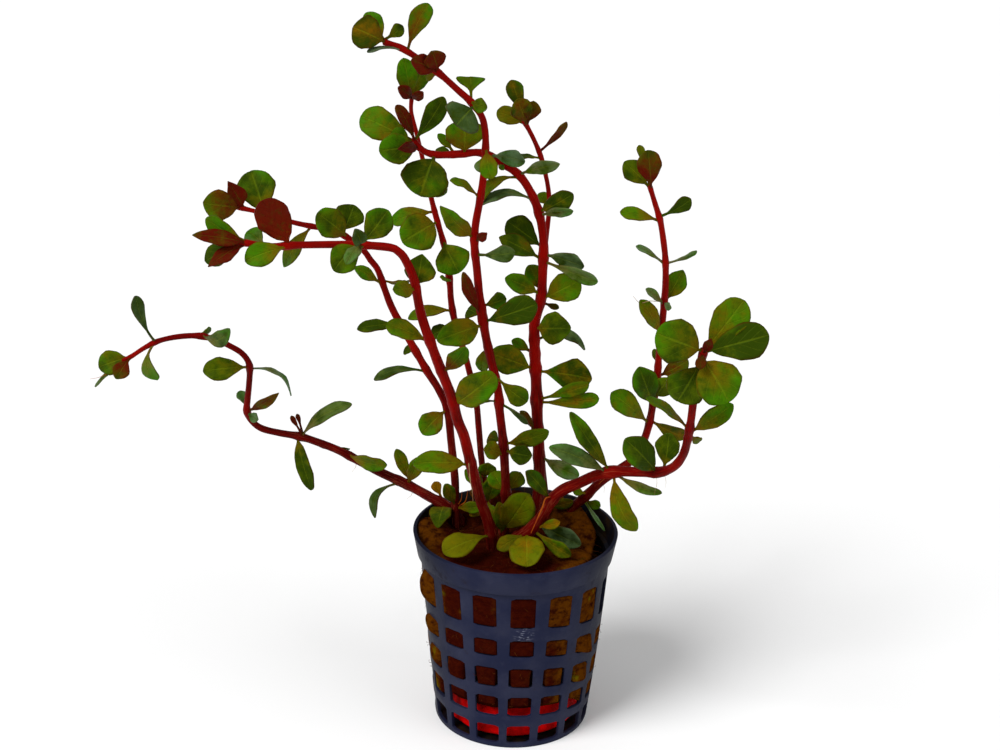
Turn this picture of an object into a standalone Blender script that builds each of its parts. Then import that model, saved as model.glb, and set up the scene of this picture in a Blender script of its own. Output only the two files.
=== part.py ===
"""Blood red rotala growing in a net pot. Blender 4.5, metres, +Z up.

The origin is the middle of the pot's flat underside. +X is the right of the
photograph and +Y is away from its camera.
"""

from math import cos, hypot, pi, radians, sin

import bmesh
import bpy
from mathutils import Matrix, Vector

MM = 0.001
GAP = 0.3 * MM

# Net pot: a cone with a collar, pierced by columns and rows of windows
RIM_RADIUS = 26.0 * MM
RIM_HEIGHT = 51.8 * MM
RIM_WALL = 1.5 * MM
COLLAR_FOOT_RADIUS = 24.9 * MM
COLLAR_FOOT_HEIGHT = 45.6 * MM
WALL_TOP_RADIUS = 24.0 * MM
BASE_RADIUS = 20.0 * MM
WALL = 1.1 * MM
WINDOW_COLUMNS = 16
FIRST_COLUMN = radians(-90.0 + 5.2)
WINDOW_WIDTH = radians(14.6)
WINDOW_ROWS = [(1.2, 6.6), (9.4, 15.4), (18.3, 24.0), (27.4, 32.3), (35.8, 44.4)]
BASE_PLATE = 1.2 * MM
SLOT_OUTER_RADIUS = 14.5 * MM
SLOT_INNER_RADIUS = 6.5 * MM

# Weight ring, lying on the base plate
RING_OUTER_RADIUS = 17.4 * MM
RING_INNER_RADIUS = 5.0 * MM
RING_HEIGHT = 9.0 * MM
RING_SIDES = 24

# Rockwool plug, standing on the ring
PLUG_FOOT_RADIUS = 18.9 * MM
PLUG_TOP_RADIUS = 21.8 * MM
PLUG_TOP = 49.0 * MM
PLUG_MOUND = 1.6 * MM
PLUG_SHIFT = -0.8 * MM
PLUG_LUMP = 0.3 * MM
PLUG_SIDES = 20
SOCKET_DEPTH = 3.6 * MM

# Stems and leaves
STEM_SIDES = 6
RING_SPACING = 9.0 * MM
LEAF_THICKNESS = 0.5 * MM
LEAF_NODES = 47
LEAF_FOLD = 0.12
LARGE_LEAF_STATIONS = (0.14, 0.36, 0.62, 0.87)
SMALL_LEAF_STATIONS = (0.30, 0.78)

# The view that the places of stems and leaves are read in
VIEW_CENTRE = (500.0, 375.0)
VIEW_FOCUS = 1568.0
VIEW_PLACE = Vector((-4.8, -360.6, 225.7)) * MM
VIEW_PITCH = -0.352
VIEW_ROLL = -0.022

# A stem: its diameter at the foot and at the tip in millimetres, then its path.
# A point of a path is across and down in the view, then millimetres away from
# the pot's axis along +Y.
STEMS = {
    "far_left": (2.4, 1.0, [
        (460, 520, 10), (452, 511, 10.5), (443, 504, 11.5), (430, 497, 13), (410, 486, 15.5),
        (380, 472, 17), (360, 461.5, 17.5), (340, 451, 17.5), (320, 443, 17), (300, 436.5, 16),
        (280, 433, 15), (262, 428.5, 14), (252, 421, 13), (247, 411, 12), (247.5, 400, 11),
        (249, 385, 10), (249.8, 370, 9), (248, 361, 8), (241, 352.5, 7), (230, 346, 6),
        (218, 340.5, 5), (200, 336, 4), (180, 336.5, 3), (160, 340.5, 2), (145, 347.5, 1),
        (132, 356, 0), (123, 361, -1)]),
    "front_left": (2.7, 1.6, [
        (492, 547, -5.4), (491, 535, -6.2), (487.5, 520, -7.2), (480.5, 500, -9), (475, 480, -11),
        (470, 460, -13), (464, 436, -15), (457.5, 420, -16), (452.5, 400, -17), (445, 380, -18),
        (437, 360, -19), (426, 330, -20), (420, 310, -20), (414, 280, -21), (405.5, 260, -21.5),
        (399, 252, -22), (390, 247.5, -22), (362, 245, -22.5), (340, 244.5, -23),
        (300, 245, -24), (270, 246.5, -25), (246, 243, -26), (236, 242, -26.5)]),
    "back_left": (2.1, 1.1, [
        (456, 525, 7.1), (455.5, 505, 9), (455, 480, 11), (451, 440, 12), (447.5, 410, 13),
        (439, 390, 14), (426.5, 370, 15), (409.5, 340, 16), (393, 310, 17), (385, 290, 17),
        (378, 270, 17), (370.5, 260, 17), (363, 250, 16.5), (345, 236, 16), (330, 230, 15),
        (305, 225, 14), (290, 221.5, 13), (265, 214, 12), (250, 210, 11), (232, 206, 10)]),
    "back": (1.8, 1.1, [
        (488, 522, 9.3), (487, 505, 11), (484, 480, 14), (481, 455, 17), (478.5, 425, 19),
        (476, 400, 20), (469, 370, 21), (462, 345, 22), (454.5, 320, 23), (451, 300, 24),
        (450, 285, 24), (448, 268, 25), (444, 245, 25.5), (437, 220, 26), (431, 197, 26),
        (424, 165, 25.5), (417, 135, 25), (412.5, 118, 24), (411, 108, 23), (412, 94, 22)]),
    "tall": (2.4, 1.4, [
        (503, 535, 2.3), (505, 520, 2), (506, 500, 1), (505, 470, 0), (503, 440, -1),
        (499.5, 410, -1.5), (498, 390, -2), (491, 360, -2.5), (485.5, 335, -3), (480, 300, -4),
        (477, 270, -4.5), (474.5, 245, -5), (475.5, 225, -5.5), (479, 205, -6), (483, 180, -6.5),
        (485.5, 150, -7.5), (485, 130, -8), (481, 115, -8), (470, 101, -8.5), (460, 92, -9),
        (440, 74, -10), (426, 64, -11), (413, 55, -12), (400, 47.5, -12.5), (384, 42, -13)]),
    "thick": (3.2, 1.7, [
        (514, 540, -1), (522, 532, -0.5), (532, 519, 0), (537.5, 500, 1), (539.5, 480, 2),
        (539, 455, 3), (537.5, 425, 4), (536.5, 390, 5), (535, 355, 5), (534.5, 325, 4.6),
        (540, 303, 4.1), (542, 290, 3.9), (543, 265, 3.5), (543.5, 240, 3), (539, 213, 3), (530, 191, 3),
        (519, 175, 3), (506, 165.5, 3), (492, 157, 2.5), (478, 152.5, 2), (460, 154, 2),
        (440, 155, 2), (428, 153, 2), (419, 147.5, 2), (413, 140, 1.5)]),
    "short_back": (1.8, 1.1, [
        (547, 519, 11), (546, 500, 13), (543, 470, 15), (540, 430, 16), (537.5, 390, 17),
        (535, 355, 17.5), (534, 335, 17.5), (537, 315, 18), (541, 290, 18), (543.5, 265, 18),
        (545.5, 245, 18), (548, 222, 17.5), (549.5, 204, 17), (548, 187, 17), (545, 172, 16),
        (541, 157, 15), (535, 142, 14), (529, 130, 13), (524, 121, 12)]),
    "right": (2.4, 1.2, [
        (566, 519, 11.5), (573, 507, 11), (585, 497, 10.5), (600, 482.5, 10.5), (618, 470, 11),
        (634, 458, 11.5), (644, 440, 12), (650, 420, 12), (653.5, 400, 12), (657, 380, 11.5),
        (658.5, 360, 11), (661, 335, 10), (663.5, 310, 9), (665.5, 285, 8), (665.5, 262, 7),
        (664, 245, 6), (660.5, 222, 5), (655.5, 205, 4), (650, 187, 3)]),
    "rosette": (2.8, 1.6, [
        (503, 543, -4.2), (514, 540, -6), (529, 531, -7.8), (542, 516, -9), (551, 501, -9.6),
        (562, 490.5, -10.2), (580, 482.5, -11), (600, 474, -12.5), (620, 471.5, -14.5),
        (640, 472, -17), (660, 472, -20), (674, 466.5, -23), (683, 455, -25.5), (687.5, 440, -28),
        (691, 420, -31), (693.5, 400, -34), (697, 377, -37), (704, 350, -40)]),
}

# A leaf: where it leaves the stem and where its tip is in the view, how far its
# tip lies nearer the camera in millimetres, its width in millimetres, the turn
# of its blade about its length in degrees (0 faces the camera), its arch as a
# part of its length, and its tint (-1 yellow-green, 0 green, 1 dark red).
LEAVES = {
    "far_left": [
        ((153, 341), (135, 296), 4, 3.4, 20, 0.10, 0.1),
        ((153, 344), (157, 380), 3, 3.9, 25, 0.10, 0.1),
        ((203, 337), (230, 329), 6, 4.2, 25, 0.05, 0.0),
        ((199, 335), (211, 328), -3, 1.8, 45, 0.05, 0.1),
        ((249, 366), (203, 371), 3, 6.0, 8, 0.10, 0.0),
        ((250, 369), (291, 396), -2, 3.6, -74, 0.22, 0.2),
        ((247, 410), (279, 393), 4, 3.0, 30, 0.06, 0.7),
        ((247, 409), (240, 391), -4, 3.2, 25, 0.08, 0.0),
        ((248, 413), (258, 420), 4, 2.6, 20, 0.05, 0.0),
        ((301, 436), (352, 404), 3, 4.6, -45, 0.12, 0.1),
        ((299, 437), (312, 490), 3, 3.9, 20, 0.08, 0.0),
        ((301, 436), (291, 416), 3, 1.4, 0, 0.05, 0.8),
        ((301, 436), (297, 414), 1, 1.2, 20, 0.05, 0.8),
        ((303, 437), (350, 449), -4, 4.0, 78, 0.05, 0.2),
        ((350, 456), (387, 465), 5, 4.8, 40, 0.10, 0.1),
        ((399, 481), (375, 518), 5, 2.9, 35, 0.20, 0.2),
        ((407, 484), (396, 449), -2, 3.4, 10, 0.08, 0.4),
        ((407, 484), (419, 457), 3, 4.0, 15, 0.08, 0.2),
        ((446, 504), (438, 528), 10, 5.8, 20, 0.10, 0.0),
        ((440, 501), (434, 482), -2, 2.8, 10, 0.05, 0.3),
        ((129, 357), (116, 379), 4, 4.2, 10, 0.12, 0.7),
        ((129, 357), (99, 367), 0, 6.2, 10, 0.12, 0.0),
        ((124, 361), (95, 387), 1, 1.5, 60, 0.05, 0.3),
    ],
    "front_left": [
        ((246, 241), (206, 218), 1, 4.6, -30, 0.06, 0.1),
        ((246, 243), (192, 235), 4, 3.8, 20, 0.08, 0.6),
        ((246, 244), (205, 261), -2, 5.2, 10, 0.10, 0.2),
        ((246, 244), (208, 267), 5, 3.8, 30, 0.08, 0.9),
        ((288, 246), (263, 200), 5, 8.2, 175, 0.10, 1.0),
        ((266, 246), (248, 231), -4, 4.4, 15, 0.05, 0.0),
        ((286, 247), (245, 261), 3, 5.8, 15, 0.10, 0.2),
        ((361, 243), (388, 210), -3, 6.6, 8, 0.08, 0.0),
        ((359, 247), (355, 229), 6, 3.0, 20, 0.20, 0.1),
        ((361, 246), (334, 271), 5, 6.6, 10, 0.12, 0.0),
        ((419, 288), (393, 290), 5, 4.2, 15, 0.10, 0.0),
        ((419, 288), (422, 254), -3, 7.2, 8, 0.08, 0.3),
        ((429, 342), (386, 324), -3, 4.8, 20, 0.08, 0.0),
        ((441, 369), (466, 347), 4, 4.8, 30, 0.06, 0.5),
        ((456, 402), (495, 374), 4, 7.6, 10, 0.08, 0.2),
        ((469, 462), (413, 464), 6, 6.0, 20, 0.10, 0.2),
        ((490, 533), (443, 553), 10, 6.8, 20, 0.10, -0.6),
    ],
    "back_left": [
        ((239, 208), (228, 181), -1, 4.2, 15, 0.02, 1.0),
        ((239, 208), (203, 203), 5, 7.4, 0, 0.12, 0.55),
        ((265, 213), (251, 171), -5, 9.2, 0, 0.10, 0.0),
        ((312, 227), (284, 267), -5, 4.4, 25, 0.08, 0.1),
        ((344, 237), (317, 213), 4, 7.4, 10, 0.10, 0.3),
        ((341, 234), (354, 205), -2, 7.2, 5, 0.10, 0.0),
        ((380, 281), (354, 267), 3, 3.4, 15, 0.06, 0.2),
        ((382, 281), (410, 281), -2, 3.4, 70, 0.06, 0.1),
        ((398, 323), (357, 329), 3, 3.8, 35, 0.06, 0.2),
        ((426, 371), (374, 380), 3, 3.4, 45, 0.16, 0.3),
        ((417, 350), (404, 350), -2, 3.0, 30, 0.05, 0.1),
        ((446, 411), (422, 434), 4, 6.4, 15, 0.10, 0.4),
        ((452, 503), (445, 484), 3, 3.4, 10, 0.05, 0.1),
        ((453, 507), (483, 506), 4, 3.4, 20, 0.05, 0.0),
    ],
    "back": [
        ((412, 97), (403, 58), 3, 5.4, 10, 0.10, -0.1),
        ((412, 97), (398, 87), 5, 3.2, 15, 0.15, 1.0),
        ((412, 97), (423, 92), 4, 2.6, 20, 0.15, 1.0),
        ((412, 97), (422, 66), -2, 5.0, 15, 0.10, 0.1),
        ((434, 210), (391, 222), -2, 5.0, 25, 0.08, 0.3),
        ((437, 220), (402, 242), 6, 9.8, 5, 0.10, 0.0),
        ((444, 243), (459, 273), 4, 9.0, 5, 0.08, 0.15),
        ((449, 277), (438, 257), -2, 2.8, 60, 0.10, 0.2),
        ((450, 280), (443, 280), 5, 3.0, 60, 0.05, 0.1),
        ((452, 309), (408, 319), 5, 3.8, 35, 0.14, 0.3),
        ((456, 328), (431, 336), 3, 4.6, 35, 0.08, 0.2),
        ((483, 478), (488, 463), 3, 5.0, 15, 0.08, 0.0),
        ((485, 490), (465, 470), 2, 4.4, 30, 0.08, 0.0),
        ((486, 500), (496, 474), 3, 5.6, 15, 0.08, 0.0),
        ((486, 502), (470, 491), 3, 3.0, 20, 0.05, 0.8),
        ((486, 500), (496, 520), 4, 3.2, 10, 0.05, 0.3),
        ((486, 506), (470, 516), 4, 3.0, 20, 0.05, 0.2),
        ((486, 502), (478, 484), 2, 3.4, 20, 0.05, 0.3),
    ],
    "tall": [
        ((385, 43), (353, 27), 3, 7.4, 5, 0.12, 0.3),
        ((385, 43), (366, 13), -3, 4.6, 15, 0.10, 0.1),
        ((385, 43), (403, 26), -1, 3.0, 15, 0.08, 0.2),
        ((407, 50), (428, 3), 3, 4.8, 12, 0.10, 0.4),
        ((398, 47), (367, 52), 3, 1.6, 60, 0.10, 0.5),
        ((438, 71), (411, 60), 4, 4.6, 20, 0.10, 0.9),
        ((437, 70), (432, 51), 3, 5.0, 15, 0.10, 0.8),
        ((438, 72), (426, 77), -3, 2.6, 20, 0.05, 0.0),
        ((471, 101), (470, 77), -4, 6.8, 10, 0.05, 0.0),
        ((474, 104), (456, 125), 4, 9.2, 0, 0.08, 0.0),
        ((472, 103), (487, 108), 5, 3.4, 10, 0.08, 0.0),
        ((479, 198), (450, 180), 2, 3.4, 62, 0.10, 0.2),
        ((475, 238), (440, 206), 3, 5.0, -30, 0.14, 0.1),
        ((475, 240), (487, 233), 3, 2.4, 10, 0.05, 1.0),
        ((475, 254), (515, 252), 3, 4.2, 20, 0.10, 0.0),
        ((482, 312), (463, 272), 3, 3.1, 25, 0.10, 0.9),
        ((483, 318), (468, 309), -3, 4.6, 15, 0.05, 0.3),
        ((481, 306), (506, 298), -3, 4.2, 20, 0.05, 0.3),
        ((484, 319), (537, 304), 4, 7.0, 5, 0.06, 0.3),
        ((485, 324), (437, 341), 5, 6.8, 10, 0.08, 0.1),
        ((488, 348), (482, 371), -4, 3.6, 20, 0.08, 0.0),
        ((499, 400), (459, 404), 3, 4.2, 72, 0.05, 0.4),
        ((497, 378), (527, 402), 3, 5.4, 15, 0.12, 0.1),
        ((500, 404), (528, 424), 2, 2.0, 50, 0.10, 0.4),
        ((503, 443), (488, 437), -3, 4.0, 15, 0.05, 0.5),
        ((503, 442), (549, 431), 3, 4.6, 25, 0.08, 0.0),
        ((504, 452), (484, 449), 4, 4.8, 15, 0.10, 0.2),
        ((504, 450), (532, 456), 4, 5.2, 15, 0.10, 0.2),
        ((504, 531), (499, 502), 3, 3.8, 10, 0.08, -0.3),
        ((505, 526), (529, 494), 9, 8.4, 5, 0.08, -0.5),
        ((506, 495), (492, 472), -4, 5.4, 15, 0.08, 0.0),
        ((507, 492), (520, 472), -2, 5.0, 20, 0.08, 0.1),
        ((483, 147), (491, 179), 3, 4.4, 10, 0.08, 0.2),
    ],
    "thick": [
        ((413, 139), (361, 116), -4, 7.8, 5, 0.10, -0.1),
        ((416, 146), (379, 151), 6, 7.2, 8, 0.10, 0.1),
        ((433, 154), (420, 196), 4, 11.4, 5, 0.10, 0.15),
        ((436, 154), (437, 197), -2, 6.5, 15, 0.10, 0.0),
        ((413, 140), (396, 105), 3, 3.4, 30, 0.08, 0.8),
        ((414, 141), (444, 97), 2, 5.0, 20, 0.08, 0.1),
        ((418, 147), (398, 149), 9, 2.8, 10, 0.05, 1.0),
        ((413, 141), (391, 133), 1, 4.4, 15, 0.08, 0.0),
        ((463, 153), (464, 120), 3, 9.4, 5, 0.08, 0.3),
        ((455, 154), (438, 134), -2, 2.4, 30, 0.05, 0.1),
        ((452, 154), (436, 150), -3, 2.4, 40, 0.05, 0.2),
        ((533, 519), (581, 545), 5.6, 5.0, 15, 0.08, 0.0),
        ((485, 154), (480, 172), 3, 3.2, 35, 0.08, 0.3),
        ((492, 156), (525, 162), 2, 4.2, 25, 0.10, 0.0),
        ((503, 163), (500, 169), 3, 1.6, 0, 0.02, 0.3),
        ((519, 176), (481, 203), 3, 3.4, 45, 0.12, 0.3),
        ((521, 175), (560, 164), 5, 3.6, 25, 0.08, 0.0),
        ((533, 198), (481, 205), 3, 3.2, 50, 0.12, 0.1),
        ((543, 246), (507, 221), -3, 6.8, 5, 0.08, -0.1),
        ((543, 256), (499, 237), 2, 5.2, 15, 0.06, 0.4),
        ((543, 254), (584, 267), 3, 4.4, 30, 0.10, 0.0),
        ((543, 262), (598, 282), 7, 4.0, 35, 0.14, 0.1),
        ((541, 292), (529, 265), -3, 5.0, 20, 0.08, 0.0),
        ((540, 294), (505, 278), 3, 4.8, 15, 0.08, 0.0),
        ((540, 296), (580, 280), 1, 7.4, 5, 0.08, 0.1),
        ((540, 303), (559, 308), -2, 1.6, 20, 0.02, 0.6),
        ((536, 328), (571, 328), 5, 7.8, 5, 0.08, 0.2),
        ((536, 340), (585, 350), -2, 3.6, -45, 0.14, 0.1),
        ((535, 352), (512, 340), -2, 3.0, 20, 0.08, 0.5),
        ((535, 368), (490, 353), 2, 7.4, 5, 0.08, 0.2),
        ((536, 369), (592, 379), 3, 8.2, 15, 0.08, 0.1),
        ((537, 397), (589, 384), 6, 3.8, 15, 0.06, 0.15),
        ((537, 402), (599, 398), 5, 4.2, 20, 0.08, 0.15),
        ((538, 430), (520, 411), 2, 2.6, 45, 0.05, 0.6),
        ((539, 459), (579, 476), 3, 4.4, 20, 0.10, 0.1),
        ((541, 210), (573, 194), 5, 4.8, 10, 0.08, 0.0),
        ((542, 213), (573, 211), 6, 3.0, 40, 0.05, 0.1),
    ],
    "short_back": [
        ((524, 122), (511, 80), 0, 4.2, 10, 0.08, 0.1),
        ((524, 123), (497, 111), -1, 4.4, 10, 0.08, -0.2),
        ((524, 123), (517, 99), 4, 5.6, 10, 0.08, 0.6),
        ((525, 123), (534, 101), 3, 4.4, 15, 0.08, 0.7),
        ((539, 150), (567, 122), 2, 2.4, 45, 0.05, 0.8),
        ((541, 157), (516, 157), 2, 2.4, 65, 0.05, 0.1),
        ((548, 208), (539, 193), -2, 3.4, 20, 0.05, 0.1),
        ((549, 505), (573, 501), 3, 3.0, 30, 0.05, 0.1),
    ],
    "right": [
        ((649, 186), (648, 150), 2, 6.0, 5, 0.10, 0.75),
        ((650, 187), (624, 162), -1, 5.2, 10, 0.10, 0.1),
        ((650, 187), (639, 145), -3, 2.0, 15, 0.05, 0.3),
        ((659, 219), (620, 212), 2, 3.6, 25, 0.08, 0.1),
        ((660, 217), (691, 199), 2, 3.8, 25, 0.08, 0.0),
        ((665, 262), (636, 246), 1, 2.2, 50, 0.05, 0.1),
        ((665, 264), (697, 251), 1, 2.0, 60, 0.05, 0.2),
        ((664, 302), (683, 270), -3, 5.4, 10, 0.08, -0.1),
        ((664, 301), (646, 289), 4, 2.4, 35, 0.05, 0.0),
        ((664, 302), (671, 308), 5, 2.0, 30, 0.05, 0.0),
        ((661, 330), (640, 300), 3, 4.2, 20, 0.10, 0.3),
        ((658, 366), (654, 349), -3, 2.4, 40, 0.05, 0.1),
        ((658, 376), (688, 360), -3, 5.4, 15, 0.08, 0.5),
        ((653, 402), (639, 367), 4, 6.8, 5, 0.10, 0.0),
        ((654, 397), (668, 378), 4, 5.6, 10, 0.10, -0.3),
        ((650, 421), (611, 393), 4, 6.2, 10, 0.10, 0.1),
        ((650, 421), (684, 437), -2, 4.0, 25, 0.08, 0.2),
        ((584, 499), (605, 531), 6, 1.1, 10, 0.04, 0.0),
        ((584, 499), (600, 507), -1, 2.8, 20, 0.05, 0.0),
        ((588, 494), (573, 491), 2, 2.4, 20, 0.05, 0.1),
    ],
    "rosette": [
        ((703, 350), (656, 333), 2, 9.8, 0, 0.10, 0.0),
        ((704, 350), (744, 300), 0, 7.8, 5, 0.08, 0.0),
        ((704, 346), (769, 335), 3, 8.2, 0, 0.08, 0.1),
        ((698, 362), (677, 401), 1, 8.8, -8, 0.10, 0.0),
        ((704, 356), (729, 402), 5, 10.2, -4, 0.10, 0.1),
        ((704, 352), (700, 369), 5, 2.4, 10, 0.10, 0.7),
        ((704, 350), (711, 339), 5, 2.2, 10, 0.10, 0.9),
        ((690, 428), (646, 398), 2, 3.8, 60, 0.06, 0.1),
        ((690, 429), (733, 404), 3, 4.8, 15, 0.08, 0.0),
        ((688, 437), (700, 441), -3, 2.4, 30, 0.05, 0.0),
        ((664, 471), (669, 433), -3, 5.8, 10, 0.08, 0.0),
        ((658, 470), (625, 439), 4, 7.0, 10, 0.10, 0.0),
        ((655, 472), (636, 465), -3, 3.0, 50, 0.05, 0.1),
        ((609, 472), (570, 412), 2, 4.2, 20, 0.08, 0.0),
        ((608, 472), (549, 447), 4, 4.6, 20, 0.08, 0.0),
        ((615, 473), (636, 531), 3, 5.4, 15, 0.10, 0.1),
        ((617, 473), (662, 493), 2, 3.0, 40, 0.08, 0.2),
        ((551, 500), (526, 471), 2, 4.4, 30, 0.05, 0.1),
        ((536, 524), (560, 522), 3, 2.6, 15, 0.05, -0.4),
        ((529, 531), (527, 567), 11.5, 9.0, 5, 0.08, -0.6),
        ((524, 534), (497, 549), 4, 4.0, 10, 0.08, -0.5),
        ((533, 527), (571, 556), 4.5, 3.8, 20, 0.06, -0.2),
    ],
}


def clear_scene():
    for item in list(bpy.data.objects):
        bpy.data.objects.remove(item, do_unlink=True)


def plain_material(name, colour, roughness):
    made = bpy.data.materials.new(name)
    made.use_nodes = True
    made.diffuse_color = (*colour, 1.0)
    shader = made.node_tree.nodes["Principled BSDF"]
    shader.inputs["Base Color"].default_value = (*colour, 1.0)
    shader.inputs["Roughness"].default_value = roughness
    shader.inputs["Metallic"].default_value = 0.0
    return made


def finished(mesh, name, made):
    """Turns a bmesh into a named object with its faces pointing out."""
    bmesh.ops.recalc_face_normals(mesh, faces=mesh.faces)
    data = bpy.data.meshes.new(name)
    mesh.to_mesh(data)
    mesh.free()
    data.materials.append(made)
    item = bpy.data.objects.new(name, data)
    bpy.context.scene.collection.objects.link(item)
    return item


def shaped(target, tool, operation):
    """Joins or cuts the target with a tool that stays in the file as a guide."""
    tool.hide_render = True
    tool.display_type = 'WIRE'
    step = target.modifiers.new(tool.name, 'BOOLEAN')
    step.operation = operation
    step.solver = 'EXACT'
    step.use_self = True
    step.object = tool


def turned(mesh, profile, angles, shift=None):
    """Adds rings of vertices about +Z, joined by faces, and returns the rings."""
    rings = []
    for radius, height in profile:
        ring = []
        for angle in angles:
            place = Vector((radius * cos(angle), radius * sin(angle), height))
            if shift:
                place = shift(place, angle)
            ring.append(mesh.verts.new(place))
        rings.append(ring)
    return rings


def joined(mesh, first, second, skip=()):
    count = len(first)
    for index in range(count):
        if index in skip:
            continue
        after = (index + 1) % count
        mesh.faces.new((first[index], first[after], second[after], second[index]))


def capped(mesh, ring, centre):
    middle = mesh.verts.new(centre)
    for index, corner in enumerate(ring):
        mesh.faces.new((corner, ring[(index + 1) % len(ring)], middle))


# Net pot

def wall_radius(height):
    return BASE_RADIUS + (WALL_TOP_RADIUS - BASE_RADIUS) * height / COLLAR_FOOT_HEIGHT


def pot_angles():
    """Both sides of every window, so that even sectors are windows."""
    angles = []
    for column in range(WINDOW_COLUMNS):
        centre = FIRST_COLUMN + column * 2 * pi / WINDOW_COLUMNS
        angles += [centre - WINDOW_WIDTH / 2, centre + WINDOW_WIDTH / 2]
    return angles


def net_pot():
    levels = [edge * MM for row in WINDOW_ROWS for edge in row]
    outside = [(wall_radius(height), height) for height in levels]
    inside = [(wall_radius(height) - WALL, height) for height in reversed(levels)]
    profile = [(SLOT_INNER_RADIUS, 0.0), (SLOT_OUTER_RADIUS, 0.0), (BASE_RADIUS, 0.0)]
    profile += outside
    profile += [(WALL_TOP_RADIUS, COLLAR_FOOT_HEIGHT), (COLLAR_FOOT_RADIUS, COLLAR_FOOT_HEIGHT)]
    profile += [(RIM_RADIUS, RIM_HEIGHT), (RIM_RADIUS - RIM_WALL, RIM_HEIGHT)]
    profile += inside
    profile += [(SLOT_OUTER_RADIUS, BASE_PLATE), (SLOT_INNER_RADIUS, BASE_PLATE)]
    mesh = bmesh.new()
    rings = turned(mesh, profile, pot_angles())
    windows = range(0, 2 * WINDOW_COLUMNS, 2)
    last = len(rings) - 1
    openings = [(0, 1, last, last - 1)]
    for row in range(len(WINDOW_ROWS)):
        low = 3 + 2 * row
        openings.append((low, low + 1, last - 2 - 2 * row, last - 3 - 2 * row))
    open_bands = {pair for opening in openings for pair in (opening[:2], opening[:1:-1])}
    for index in range(last):
        bare = windows if (index, index + 1) in open_bands else ()
        joined(mesh, rings[index], rings[index + 1], bare)
    for low, high, low_inside, high_inside in openings:
        for left in windows:
            right = left + 1
            outer = [rings[low][left], rings[low][right], rings[high][right], rings[high][left]]
            inner = [rings[low_inside][left], rings[low_inside][right],
                     rings[high_inside][right], rings[high_inside][left]]
            joined(mesh, outer, inner)
    capped(mesh, rings[0], (0.0, 0.0, 0.0))
    capped(mesh, rings[last], (0.0, 0.0, BASE_PLATE))
    return finished(mesh, "net_pot", plain_material("navy_plastic", (0.055, 0.075, 0.16), 0.45))


# Weight ring and rockwool plug

def even_angles(count):
    return [2 * pi * index / count for index in range(count)]


def weight_ring():
    foot = BASE_PLATE + GAP
    top = foot + RING_HEIGHT
    profile = [(RING_OUTER_RADIUS, foot), (RING_OUTER_RADIUS, top),
               (RING_INNER_RADIUS, top), (RING_INNER_RADIUS, foot)]
    mesh = bmesh.new()
    rings = turned(mesh, profile, even_angles(RING_SIDES))
    for index, ring in enumerate(rings):
        joined(mesh, ring, rings[(index + 1) % len(rings)])
    return finished(mesh, "weight_ring", plain_material("red_clay", (0.75, 0.03, 0.015), 0.4))


def lumpy(place, angle):
    """Uneven sides, and a top that is higher on the left."""
    height = place.z
    lump = PLUG_LUMP * sin(3 * angle + 400 * height) * cos(2 * angle - 250 * height)
    outward = Vector((cos(angle), sin(angle), 0.0))
    moved = place + outward * lump
    moved.x += PLUG_SHIFT * height / PLUG_TOP
    if height > PLUG_TOP - MM:
        radius = hypot(place.x, place.y)
        moved.z += PLUG_MOUND * max(0.0, -cos(angle)) * radius / PLUG_TOP_RADIUS
    return moved


def rockwool_plug():
    foot = BASE_PLATE + RING_HEIGHT + 2 * GAP
    levels = 4
    profile = []
    for step in range(levels + 1):
        share = step / levels
        radius = PLUG_FOOT_RADIUS + (PLUG_TOP_RADIUS - PLUG_FOOT_RADIUS) * share
        profile.append((radius, foot + (PLUG_TOP - foot) * share))
    profile.append((0.55 * PLUG_TOP_RADIUS, PLUG_TOP))
    mesh = bmesh.new()
    rings = turned(mesh, profile, even_angles(PLUG_SIDES), lumpy)
    for index in range(len(rings) - 1):
        joined(mesh, rings[index], rings[index + 1])
    capped(mesh, rings[0], (0.0, 0.0, foot))
    capped(mesh, rings[-1], (PLUG_SHIFT, 0.0, PLUG_TOP))
    plug = finished(mesh, "rockwool_plug", plain_material("rockwool", (0.16, 0.07, 0.02), 0.95))
    sockets = bmesh.new()
    for name in STEMS:
        path, radii = stem_line(name)
        end = next(index for index, point in enumerate(path) if point.z > PLUG_TOP + 4 * MM)
        wide = [radius + GAP for radius in radii]
        low = [path[0] - Vector((0, 0, GAP))] + path[1:end + 1]
        tube(sockets, low, wide[:end + 1])
    tool = finished(sockets, "stem_sockets", plug.active_material)
    shaped(plug, tool, 'DIFFERENCE')
    return plug


# Places read in the view

def view_turn():
    pitch = Matrix.Rotation(VIEW_PITCH, 3, 'X')
    roll = Matrix.Rotation(VIEW_ROLL, 3, 'Y')
    return pitch @ roll


def seen_at(across, down, depth):
    """The point at this place in the view, on the plane y = depth."""
    ray = Vector(((across - VIEW_CENTRE[0]) / VIEW_FOCUS, 1.0, (VIEW_CENTRE[1] - down) / VIEW_FOCUS))
    ray = view_turn() @ ray
    return VIEW_PLACE + ray * ((depth - VIEW_PLACE.y) / ray.y)


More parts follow.
